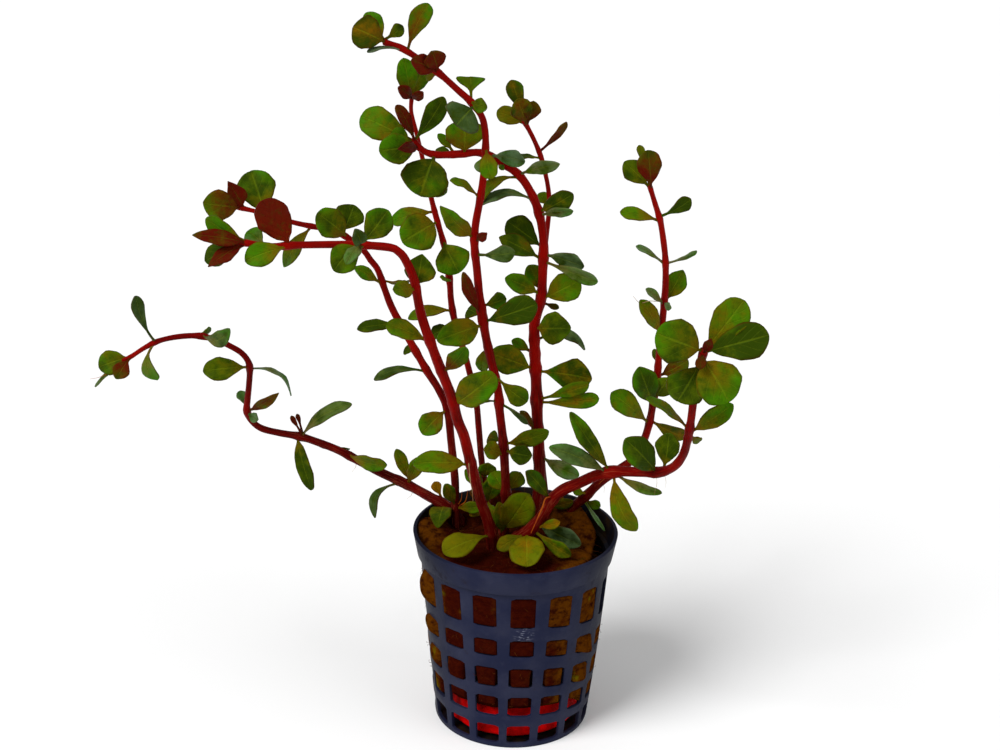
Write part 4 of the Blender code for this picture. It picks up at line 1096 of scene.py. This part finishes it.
BACK_LEFT_DIAMETERS = (2.1, 2.1, 2.0, 1.9, 1.6, 1.3, 1.1)
BACK_LEFT_PATH = [
    (456, 525, 7.1), (455.5, 505, 9), (455, 480, 11), (451, 440, 12), (447.5, 410, 13),
    (439, 390, 14), (426.5, 370, 15), (409.5, 340, 16), (393, 310, 17), (385, 290, 17),
    (378, 270, 17), (370.5, 260, 17), (363, 250, 16.5), (345, 236, 16), (330, 230, 15),
    (305, 225, 14), (290, 221.5, 13), (265, 214, 12), (250, 210, 11), (232, 206, 10)]
BACK_LEFT_LEAVES = [
    ((241, 209), (228, 181), 1, 4.8, 15, 0.02, 1.0, dict(fullest=0.3, point=0.9)),
    ((239, 208), (203, 203), 5, 7.4, 0, 0.12, 0.65, dict(fullest=0.58)),
    ((265, 213), (251, 171), -5, 9.2, 0, 0.1, 0.0, dict(fullest=0.56, point=0.5)),
    ((312, 227), (284, 267), -5, 4.4, 25, 0.08, 0.1, dict(fullest=0.55, point=0.8)),
    ((344, 237), (317, 213), 4, 7.4, 10, 0.1, 0.3, dict(point=0.45)),
    ((341, 234), (354, 205), -2, 7.2, 5, 0.1, 0.0, dict(fullest=0.62)),
    ((380, 281), (354, 267), 3, 3.4, 15, 0.06, 0.2, dict(point=0.8)),
    ((382, 281), (410, 281), -2, 3.4, 70, 0.06, 0.1),
    ((398, 323), (357, 329), 3, 3.8, 35, 0.06, 0.2),
    ((426, 371), (374, 380), 3, 3.4, 45, 0.16, 0.3, dict(fullest=0.7, grey=0.2)),
    ((417, 350), (404, 350), -2, 3.0, 30, 0.05, 0.1),
    ((446, 411), (422, 434), 4, 6.4, 15, 0.1, 0.4),
    ((452, 503), (445, 484), 3, 3.4, 10, 0.05, 0.1, dict(warm=0.5)),
    ((453, 507), (483, 506), 4, 3.4, 20, 0.05, 0.0),
]

back_left_axis = grow("back_left", BACK_LEFT_DIAMETERS, BACK_LEFT_PATH, BACK_LEFT_LEAVES)


# Back stem
# A thin shoot behind the others, topped by two upright leaves and a red bud.

BACK_DIAMETERS = (1.8, 1.7, 1.7, 1.7, 1.5, 1.2, 1.0)
BACK_PATH = [
    (488, 522, 9.3), (487, 505, 11), (484, 480, 14), (481, 455, 17), (478.5, 425, 19),
    (476, 400, 20), (469, 370, 21), (462, 345, 22), (454.5, 320, 23), (451, 300, 24),
    (450, 285, 24), (448, 268, 25), (444, 245, 25.5), (437, 220, 26), (431, 197, 26),
    (424, 165, 25.5), (417, 135, 25), (412.5, 118, 24), (411, 108, 23), (412, 94, 22)]
BACK_LEAVES = [
    ((412, 97), (403, 58), 3, 5.4, 10, 0.1, -0.1),
    ((412, 97), (398, 87), 5, 3.2, 15, 0.15, 1.0),
    ((412, 97), (423, 92), 4, 2.6, 20, 0.15, 1.0),
    ((412, 97), (422, 66), -2, 5.0, 15, 0.1, 0.1),
    ((434, 210), (391, 222), -2, 5.0, 25, 0.08, 0.3),
    ((437, 220), (402, 242), 6, 9.8, 5, 0.1, 0.0, dict(fullest=0.52, point=0.5)),
    ((444, 243), (459, 273), 4, 9.0, 5, 0.08, 0.15, dict(point=0.5, warm=0.2)),
    ((449, 277), (438, 257), -2, 2.8, 60, 0.1, 0.2),
    ((450, 280), (443, 280), 5, 3.0, 60, 0.05, 0.1),
    ((452, 309), (408, 319), 5, 3.8, 35, 0.14, 0.3),
    ((456, 328), (431, 336), 3, 4.6, 35, 0.08, 0.2),
    ((483, 478), (488, 463), 3, 5.0, 15, 0.08, 0.0),
    ((485, 490), (465, 470), 2, 4.4, 30, 0.08, 0.0),
    ((486, 500), (496, 474), 3, 5.6, 15, 0.08, 0.0),
    ((486, 502), (470, 491), 3, 3.0, 20, 0.05, 0.8),
    ((486, 500), (496, 520), 4, 3.2, 10, 0.05, 0.3, dict(warm=0.3)),
    ((486, 506), (470, 516), 4, 3.0, 20, 0.05, 0.2, dict(warm=0.7)),
    ((486, 502), (478, 484), 2, 3.4, 20, 0.05, 0.3),
]

grow("back", BACK_DIAMETERS, BACK_PATH, BACK_LEAVES)


# Tall stem
# The tallest shoot. Its top bends over to the left and carries the highest
# leaves of the plant.

TALL_DIAMETERS = (2.4, 2.3, 2.2, 2.1, 2.0, 1.8, 1.6, 1.5, 1.3)
TALL_PATH = [
    (503, 535, 2.3), (505, 520, 2), (506, 500, 1), (505, 470, 0), (503, 440, -1),
    (499.5, 410, -1.5), (498, 390, -2), (491, 360, -2.5), (485.5, 335, -3), (480, 300, -4),
    (477, 270, -4.5), (474.5, 245, -5), (475.5, 225, -5.5), (479, 205, -6), (483, 180, -6.5),
    (485.5, 150, -7.5), (485, 130, -8), (481, 115, -8), (470, 101, -8.5), (460, 92, -9),
    (440, 74, -10), (426, 64, -11), (413, 55, -12), (400, 47.5, -12.5), (384, 42, -13)]
TALL_LEAVES = [
    ((385, 43), (353, 27), 3, 7.4, 5, 0.12, 0.35, dict(fullest=0.6, point=0.5, warm=0.55)),
    ((385, 43), (366, 13), -3, 4.6, 15, 0.1, 0.1),
    ((385, 43), (403, 26), -1, 3.0, 15, 0.08, 0.2, dict(fullest=0.68)),
    ((407, 50), (428, 3), 3, 4.8, 12, 0.1, 0.5, dict(fullest=0.74, bend=-0.06, warm=0.5)),
    ((398, 47), (367, 52), 3, 1.6, 60, 0.1, 0.5, dict(grey=0.8, fullest=0.75)),
    ((438, 71), (411, 60), 4, 4.6, 20, 0.1, 0.9, dict(fullest=0.55, point=0.6)),
    ((437, 70), (432, 51), 3, 5.0, 15, 0.1, 0.8, dict(fullest=0.6, point=0.5)),
    ((438, 72), (426, 77), -3, 2.6, 20, 0.05, 0.0),
    ((471, 101), (470, 77), -4, 6.8, 10, 0.05, 0.0, dict(fullest=0.84, point=0.6)),
    ((474, 104), (456, 125), 4, 9.2, 0, 0.08, 0.0, dict(point=0.5, grey=0.3)),
    ((472, 103), (487, 108), 5, 3.4, 10, 0.08, 0.0),
    ((479, 198), (450, 180), 2, 3.4, 62, 0.1, 0.2),
    ((475, 238), (440, 206), 3, 5.0, -30, 0.14, 0.1, dict(fullest=0.42, point=0.8, bend=0.05)),
    ((475, 240), (487, 233), 3, 2.4, 10, 0.05, 1.0, dict(fullest=0.4, point=0.9)),
    ((475, 254), (515, 252), 3, 4.2, 20, 0.1, 0.0, dict(fullest=0.74, grey=0.3)),
    ((482, 312), (463, 272), 3, 3.1, 25, 0.1, 0.9, dict(bend=-0.08)),
    ((483, 318), (468, 309), -3, 4.6, 15, 0.05, 0.3),
    ((481, 306), (506, 298), -3, 4.2, 20, 0.05, 0.3),
    ((484, 319), (537, 304), 4, 7.0, 5, 0.06, 0.3, dict(fullest=0.68, point=0.5)),
    ((485, 324), (437, 341), 5, 6.8, 10, 0.08, 0.1, dict(fullest=0.48)),
    ((488, 348), (482, 371), -4, 3.6, 20, 0.08, 0.0),
    ((499, 400), (459, 404), 3, 4.2, 72, 0.05, 0.4),
    ((497, 378), (527, 402), 3, 5.4, 15, 0.12, 0.1, dict(fullest=0.74)),
    ((500, 404), (528, 424), 2, 2.0, 50, 0.1, 0.4, dict(fullest=0.7, bend=-0.12, grey=0.3)),
    ((503, 443), (488, 437), -3, 4.0, 15, 0.05, 0.5),
    ((503, 442), (549, 431), 3, 4.6, 25, 0.08, 0.0),
    ((504, 452), (484, 449), 4, 4.8, 15, 0.1, 0.2),
    ((504, 450), (532, 456), 4, 5.2, 15, 0.1, 0.2),
    ((504, 531), (499, 502), 3, 3.8, 10, 0.08, -0.3, dict(fullest=0.55, warm=0.5)),
    ((505, 526), (529, 494), 9, 8.4, 5, 0.08, -0.5, dict(point=0.5)),
    ((506, 495), (492, 472), -4, 5.4, 15, 0.08, 0.0),
    ((507, 492), (520, 472), -2, 5.0, 20, 0.08, 0.1),
    ((483, 147), (491, 179), 3, 4.4, 10, 0.08, 0.2, dict(point=0.5)),
]

grow("tall", TALL_DIAMETERS, TALL_PATH, TALL_LEAVES)


# Thick stem
# The stoutest shoot, with the most leaves. Its top bends left into a tuft.

THICK_DIAMETERS = (3.2, 3.1, 3.0, 2.9, 2.6, 2.2, 2.1, 1.9, 1.7, 1.5)
THICK_PATH = [
    (514, 540, -1), (522, 532, -0.5), (532, 519, 0), (537.5, 500, 1), (539.5, 480, 2),
    (539, 455, 3), (537.5, 425, 4), (536.5, 390, 5), (535, 355, 5), (534.5, 325, 4.6),
    (540, 303, 4.1), (542, 290, 3.9), (543, 265, 3.5), (543.5, 240, 3), (539, 213, 3), (530, 191, 3),
    (519, 175, 3), (506, 165.5, 3), (492, 157, 2.5), (478, 152.5, 2), (460, 154, 2),
    (440, 155, 2), (428, 153, 2), (419, 147.5, 2), (413, 140, 1.5)]
THICK_LEAVES = [
    ((413, 139), (361, 116), -4, 7.8, 5, 0.1, -0.1, dict(fullest=0.64, point=0.5)),
    ((416, 146), (379, 151), 6, 7.2, 8, 0.1, 0.1, dict(point=0.5)),
    ((433, 154), (420, 196), 4, 11.4, 5, 0.1, -0.15, dict(fullest=0.55, point=0.48, warm=0.3)),
    ((436, 154), (437, 197), -2, 6.5, 15, 0.1, 0.0, dict(fullest=0.66)),
    ((413, 140), (396, 105), 3, 3.4, 30, 0.08, 0.8, dict(fullest=0.66)),
    ((414, 141), (444, 97), 2, 5.0, 20, 0.08, 0.1, dict(fullest=0.66)),
    ((418, 147), (398, 149), 9, 2.8, 10, 0.05, 1.0, dict(fullest=0.4, point=0.9)),
    ((413, 141), (391, 133), 1, 4.4, 15, 0.08, 0.0),
    ((463, 153), (464, 120), 3, 9.4, 5, 0.08, 0.3, dict(point=0.48, warm=0.2)),
    ((455, 154), (438, 134), -2, 2.4, 30, 0.05, 0.1),
    ((452, 154), (436, 150), -3, 2.4, 40, 0.05, 0.2),
    ((533, 519), (581, 545), 5.6, 5.0, 15, 0.08, 0.0, dict(fullest=0.64, grey=0.7)),
    ((485, 154), (480, 172), 3, 3.2, 35, 0.08, 0.3, dict(grey=0.7)),
    ((492, 156), (525, 162), 2, 4.2, 25, 0.1, 0.0, dict(grey=0.9, bend=-0.1)),
    ((503, 163), (500, 169), 3, 1.6, 0, 0.02, 0.3),
    ((519, 176), (481, 203), 3, 3.4, 45, 0.12, 0.3, dict(bend=0.12, point=0.7)),
    ((521, 175), (560, 164), 5, 3.6, 25, 0.08, 0.0, dict(grey=0.6, point=0.75, bend=-0.06)),
    ((533, 198), (481, 205), 3, 3.2, 50, 0.12, 0.1, dict(grey=0.5, bend=0.08)),
    ((543, 246), (507, 221), -3, 6.8, 5, 0.08, -0.1, dict(fullest=0.62)),
    ((543, 256), (499, 237), 2, 5.2, 15, 0.06, 0.4, dict(point=0.8)),
    ((543, 254), (584, 267), 3, 4.4, 30, 0.1, 0.0, dict(grey=0.55, bend=-0.09)),
    ((543, 262), (598, 282), 7, 4.0, 35, 0.14, 0.1, dict(fullest=0.74, grey=0.5, bend=-0.08)),
    ((541, 292), (529, 265), -3, 5.0, 20, 0.08, 0.0),
    ((540, 294), (505, 278), 3, 4.8, 15, 0.08, 0.0),
    ((540, 296), (580, 280), 1, 7.4, 5, 0.08, 0.1, dict(fullest=0.62, point=0.5)),
    ((540, 303), (559, 308), -2, 1.6, 20, 0.02, 0.6),
    ((536, 328), (571, 328), 5, 7.8, 5, 0.08, 0.2, dict(point=0.6, fullest=0.5)),
    ((536, 340), (585, 350), -2, 3.6, -45, 0.14, 0.1, dict(grey=0.5, bend=-0.12)),
    ((535, 352), (512, 340), -2, 3.0, 20, 0.08, 0.5),
    ((535, 368), (490, 353), 2, 7.4, 5, 0.08, 0.2, dict(point=0.6, warm=0.5)),
    ((536, 369), (592, 379), 3, 8.2, 15, 0.08, 0.1, dict(fullest=0.66, point=0.7, bend=-0.05, warm=0.5)),
    ((537, 397), (589, 384), 6, 3.8, 15, 0.06, 0.15, dict(fullest=0.74, warm=0.4)),
    ((537, 402), (599, 398), 5, 4.2, 20, 0.08, 0.15, dict(fullest=0.75, point=0.45, warm=0.4)),
    ((538, 430), (520, 411), 2, 2.6, 45, 0.05, 0.6),
    ((539, 459), (579, 476), 3, 4.4, 20, 0.1, 0.1, dict(grey=0.6)),
    ((541, 210), (573, 194), 5, 4.8, 10, 0.08, 0.0, dict(point=0.45, warm=0.3)),
    ((542, 213), (573, 211), 6, 3.0, 40, 0.05, 0.1, dict(grey=0.5, bend=-0.05)),
]

grow("thick", THICK_DIAMETERS, THICK_PATH, THICK_LEAVES)


# Short back stem
# A thin straight shoot behind the thick one, topped by a small tuft.

SHORT_BACK_DIAMETERS = (1.8, 1.5, 1.3, 1.25, 1.2, 1.1)
SHORT_BACK_PATH = [
    (547, 519, 11), (546, 500, 13), (543, 470, 15), (540, 430, 16), (537.5, 390, 17),
    (535, 355, 17.5), (534, 335, 17.5), (537, 315, 18), (541, 290, 18), (543.5, 265, 18),
    (545.5, 245, 18), (548, 222, 17.5), (549.5, 204, 17), (548, 187, 17), (545, 172, 16),
    (541, 157, 15), (535, 142, 14), (529, 130, 13), (524, 121, 12)]
SHORT_BACK_LEAVES = [
    ((524, 122), (511, 80), 0, 4.2, 10, 0.08, 0.1, dict(fullest=0.74, warm=0.5)),
    ((524, 123), (497, 111), -1, 4.4, 10, 0.08, -0.2, dict(point=0.5)),
    ((524, 123), (517, 99), 4, 5.6, 10, 0.08, 0.6, dict(point=0.7, fullest=0.66, warm=0.5)),
    ((525, 123), (534, 101), 3, 4.4, 15, 0.08, 0.7, dict(point=0.7, fullest=0.66, warm=0.3)),
    ((539, 150), (567, 122), 2, 2.4, 45, 0.05, 0.8, dict(fullest=0.68)),
    ((541, 157), (516, 157), 2, 2.4, 65, 0.05, 0.1),
    ((548, 208), (539, 193), -2, 3.4, 20, 0.05, 0.1),
    ((549, 505), (573, 501), 3, 3.0, 30, 0.05, 0.1, dict(warm=0.5)),
]

grow("short_back", SHORT_BACK_DIAMETERS, SHORT_BACK_PATH, SHORT_BACK_LEAVES)


# Right stem
# It leans out to the right and then stands upright, with a red tuft on top.

RIGHT_DIAMETERS = (2.4, 2.4, 2.1, 1.8, 1.7, 1.7, 1.5, 1.2)
RIGHT_PATH = [
    (566, 519, 11.5), (573, 507, 11), (585, 497, 10.5), (600, 482.5, 10.5), (618, 470, 11),
    (634, 458, 11.5), (644, 440, 12), (650, 420, 12), (653.5, 400, 12), (657, 380, 11.5),
    (658.5, 360, 11), (661, 335, 10), (663.5, 310, 9), (665.5, 285, 8), (665.5, 262, 7),
    (664, 245, 6), (660.5, 222, 5), (655.5, 205, 4), (650, 187, 3)]
RIGHT_LEAVES = [
    ((649, 186), (648, 150), 2, 6.0, 5, 0.1, 0.75, dict(fullest=0.66)),
    ((650, 187), (624, 162), -1, 5.2, 10, 0.1, 0.1),
    ((650, 187), (639, 145), -3, 2.0, 15, 0.05, 0.3, dict(fullest=0.85)),
    ((659, 219), (620, 212), 2, 3.6, 25, 0.08, 0.1, dict(fullest=0.66)),
    ((660, 217), (691, 199), 2, 3.8, 25, 0.08, 0.0, dict(fullest=0.74)),
    ((665, 262), (636, 246), 1, 2.2, 50, 0.05, 0.1, dict(grey=0.8, fullest=0.7)),
    ((665, 264), (697, 251), 1, 2.0, 60, 0.05, 0.2, dict(grey=0.8, fullest=0.7)),
    ((664, 302), (683, 270), -3, 5.4, 10, 0.08, -0.1, dict(fullest=0.55, point=0.8)),
    ((664, 301), (646, 289), 4, 2.4, 35, 0.05, 0.0, dict(grey=0.5)),
    ((664, 302), (671, 308), 5, 2.0, 30, 0.05, 0.0, dict(grey=0.5)),
    ((661, 330), (640, 300), 3, 4.2, 20, 0.1, 0.3),
    ((658, 366), (654, 349), -3, 2.4, 40, 0.05, 0.1),
    ((658, 376), (688, 360), -3, 5.4, 15, 0.08, 0.5),
    ((653, 402), (639, 367), 4, 6.8, 5, 0.1, 0.0),
    ((654, 397), (668, 378), 4, 5.6, 10, 0.1, -0.3),
    ((650, 421), (611, 393), 4, 6.2, 10, 0.1, 0.1, dict(fullest=0.7)),
    ((650, 420), (687, 437), -2, 4.0, 25, 0.08, 0.2, dict(warm=0.6)),
    ((584, 499), (605, 531), 6, 1.1, 10, 0.04, 0.0, dict(grey=1.0)),
    ((584, 499), (600, 507), -1, 2.8, 20, 0.05, 0.0),
    ((588, 494), (573, 491), 2, 2.4, 20, 0.05, 0.1),
]

right_axis = grow("right", RIGHT_DIAMETERS, RIGHT_PATH, RIGHT_LEAVES)


# Rosette stem
# A stout shoot that lies to the right and comes towards the camera, where it
# turns up into a rosette of large round leaves.

ROSETTE_DIAMETERS = (2.8, 2.8, 2.8, 2.5, 2.2, 1.9, 1.8, 1.6)
ROSETTE_PATH = [
    (503, 543, -4.2), (514, 540, -6), (529, 531, -7.8), (542, 516, -9), (551, 501, -9.6),
    (562, 490.5, -10.2), (580, 482.5, -11), (600, 474, -12.5), (620, 471.5, -14.5),
    (640, 472, -17), (660, 472, -20), (674, 466.5, -23), (683, 455, -25.5), (687.5, 440, -28),
    (691, 420, -31), (693.5, 400, -34), (697, 377, -37), (704, 350, -40)]
ROSETTE_LEAVES = [
    ((703, 350), (656, 333), 2, 9.8, 0, 0.1, 0.0, dict(point=0.48)),
    ((704, 350), (744, 300), 0, 7.8, 5, 0.08, 0.0, dict(fullest=0.68, point=0.5)),
    ((704, 346), (769, 335), 3, 8.2, 0, 0.08, 0.1, dict(fullest=0.64, point=0.5)),
    ((698, 362), (677, 401), 1, 8.8, -8, 0.1, 0.0, dict(point=0.48)),
    ((704, 356), (729, 402), 5, 10.2, -4, 0.1, 0.1, dict(fullest=0.58, point=0.48)),
    ((704, 352), (700, 369), 5, 2.4, 10, 0.1, 0.7),
    ((704, 350), (711, 339), 5, 2.2, 10, 0.1, 0.9, dict(point=0.8)),
    ((690, 428), (646, 398), 2, 3.8, 60, 0.06, 0.1),
    ((690, 429), (733, 404), 3, 4.8, 15, 0.08, 0.0),
    ((688, 437), (700, 441), -3, 2.4, 30, 0.05, 0.0),
    ((664, 471), (669, 433), -3, 5.8, 10, 0.08, 0.0),
    ((658, 470), (625, 439), 4, 7.0, 10, 0.1, 0.0, dict(point=0.5)),
    ((655, 472), (636, 465), -3, 3.0, 50, 0.05, 0.1),
    ((609, 472), (570, 412), 2, 4.2, 20, 0.08, 0.0, dict(bend=-0.04)),
    ((608, 472), (549, 447), 4, 4.6, 20, 0.08, 0.0, dict(grey=0.4)),
    ((615, 473), (636, 531), 3, 5.4, 15, 0.1, 0.1, dict(bend=0.07)),
    ((617, 473), (662, 493), 2, 3.0, 40, 0.08, 0.2, dict(grey=0.3)),
    ((551, 500), (526, 471), 2, 4.4, 30, 0.05, 0.1),
    ((536, 524), (560, 522), 3, 2.6, 15, 0.05, -0.4, dict(warm=0.7)),
    ((529, 531), (527, 567), 11.5, 9.0, 5, 0.08, -0.6, dict(point=0.5, warm=0.4)),
    ((524, 534), (497, 549), 4, 4.0, 10, 0.08, -0.5, dict(warm=0.5)),
    ((533, 527), (571, 556), 4.5, 3.8, 20, 0.06, -0.2, dict(fullest=0.7, warm=0.4)),
]

rosette_axis = grow("rosette", ROSETTE_DIAMETERS, ROSETTE_PATH, ROSETTE_LEAVES)


# Fine roots
# Thin roots and root hairs that grow from the stems above the plug, orange where
# they are young and pale where they are older.

ROOT_ORANGE = shown(150, 72, 6)
ROOT_PALE = shown(160, 140, 96)
# For each: the stem it grows from, its places in the view, how far they are nearer
# the camera than the stem's middle line and its radius, in millimetres
ORANGE_ROOTS = [
    (rosette_axis, [(552, 496), (546, 498), (543, 506), (540, 513), (531, 533)], 2.0, 0.28),
    (rosette_axis, [(560, 492), (566, 488), (573, 485), (582, 481)], 1.5, 0.13),
    (rosette_axis, [(590, 478), (597, 475), (604, 473)], 1.3, 0.12),
    (back_left_axis, [(456, 506), (461, 500), (462, 491)], 1.2, 0.14),
    (back_left_axis, [(456, 507), (465, 502), (468, 490)], 1.6, 0.16),
    (right_axis, [(594, 489), (600, 483), (604, 479)], 1.2, 0.10),
    (far_left_axis, [(124, 361), (110, 372), (100, 377), (90, 379)], 1.0, 0.09),
]
PALE_ROOTS = [
    (front_left_axis, [(468, 452), (470, 478), (472, 490), (473, 501)], 1.0, 0.13),
    (right_axis, [(601, 481), (604, 486), (604, 493)], 1.0, 0.06),
    (rosette_axis, [(655, 473), (657, 482), (654, 495)], 1.0, 0.06),
    (rosette_axis, [(662, 473), (666, 481), (665, 488)], 1.0, 0.05),
    (far_left_axis, [(355, 458), (356, 466), (352, 472)], 0.8, 0.06),
    (far_left_axis, [(412, 487), (412, 494), (407, 499)], 0.8, 0.06),
    (right_axis, [(664, 302), (650, 301), (640, 303), (633, 296)], 2.0, 0.10),
]


def fine_roots(name, rows, colour):
    """One piece of the threads that these rows give."""
    curve = bpy.data.curves.new(name, 'CURVE')
    for axis, places, nearer, radius in rows:
        foot = axis[0][nearest_on(axis, *places[0])]
        points = [foot] + [seen_at(across, down, foot.y - nearer * MM) for across, down in places[1:]]
        thread(curve, smooth_line(points, 0.5 * MM), radius * MM)
    skin = Finish(name, Roughness=0.6, Specular_IOR_Level=0.1)
    skin_tone = skin.between(skin.grain(skin.place(), 400.0, 3.0), 0.35, 0.7)
    skin.set(Base_Color=skin.mixed(skin_tone * 0.6, colour, STEM_RED))
    roots = threads_piece(curve, name, skin)
    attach(roots, "root")


fine_roots("orange_roots", ORANGE_ROOTS, ROOT_ORANGE)
fine_roots("pale_roots", PALE_ROOTS, ROOT_PALE)
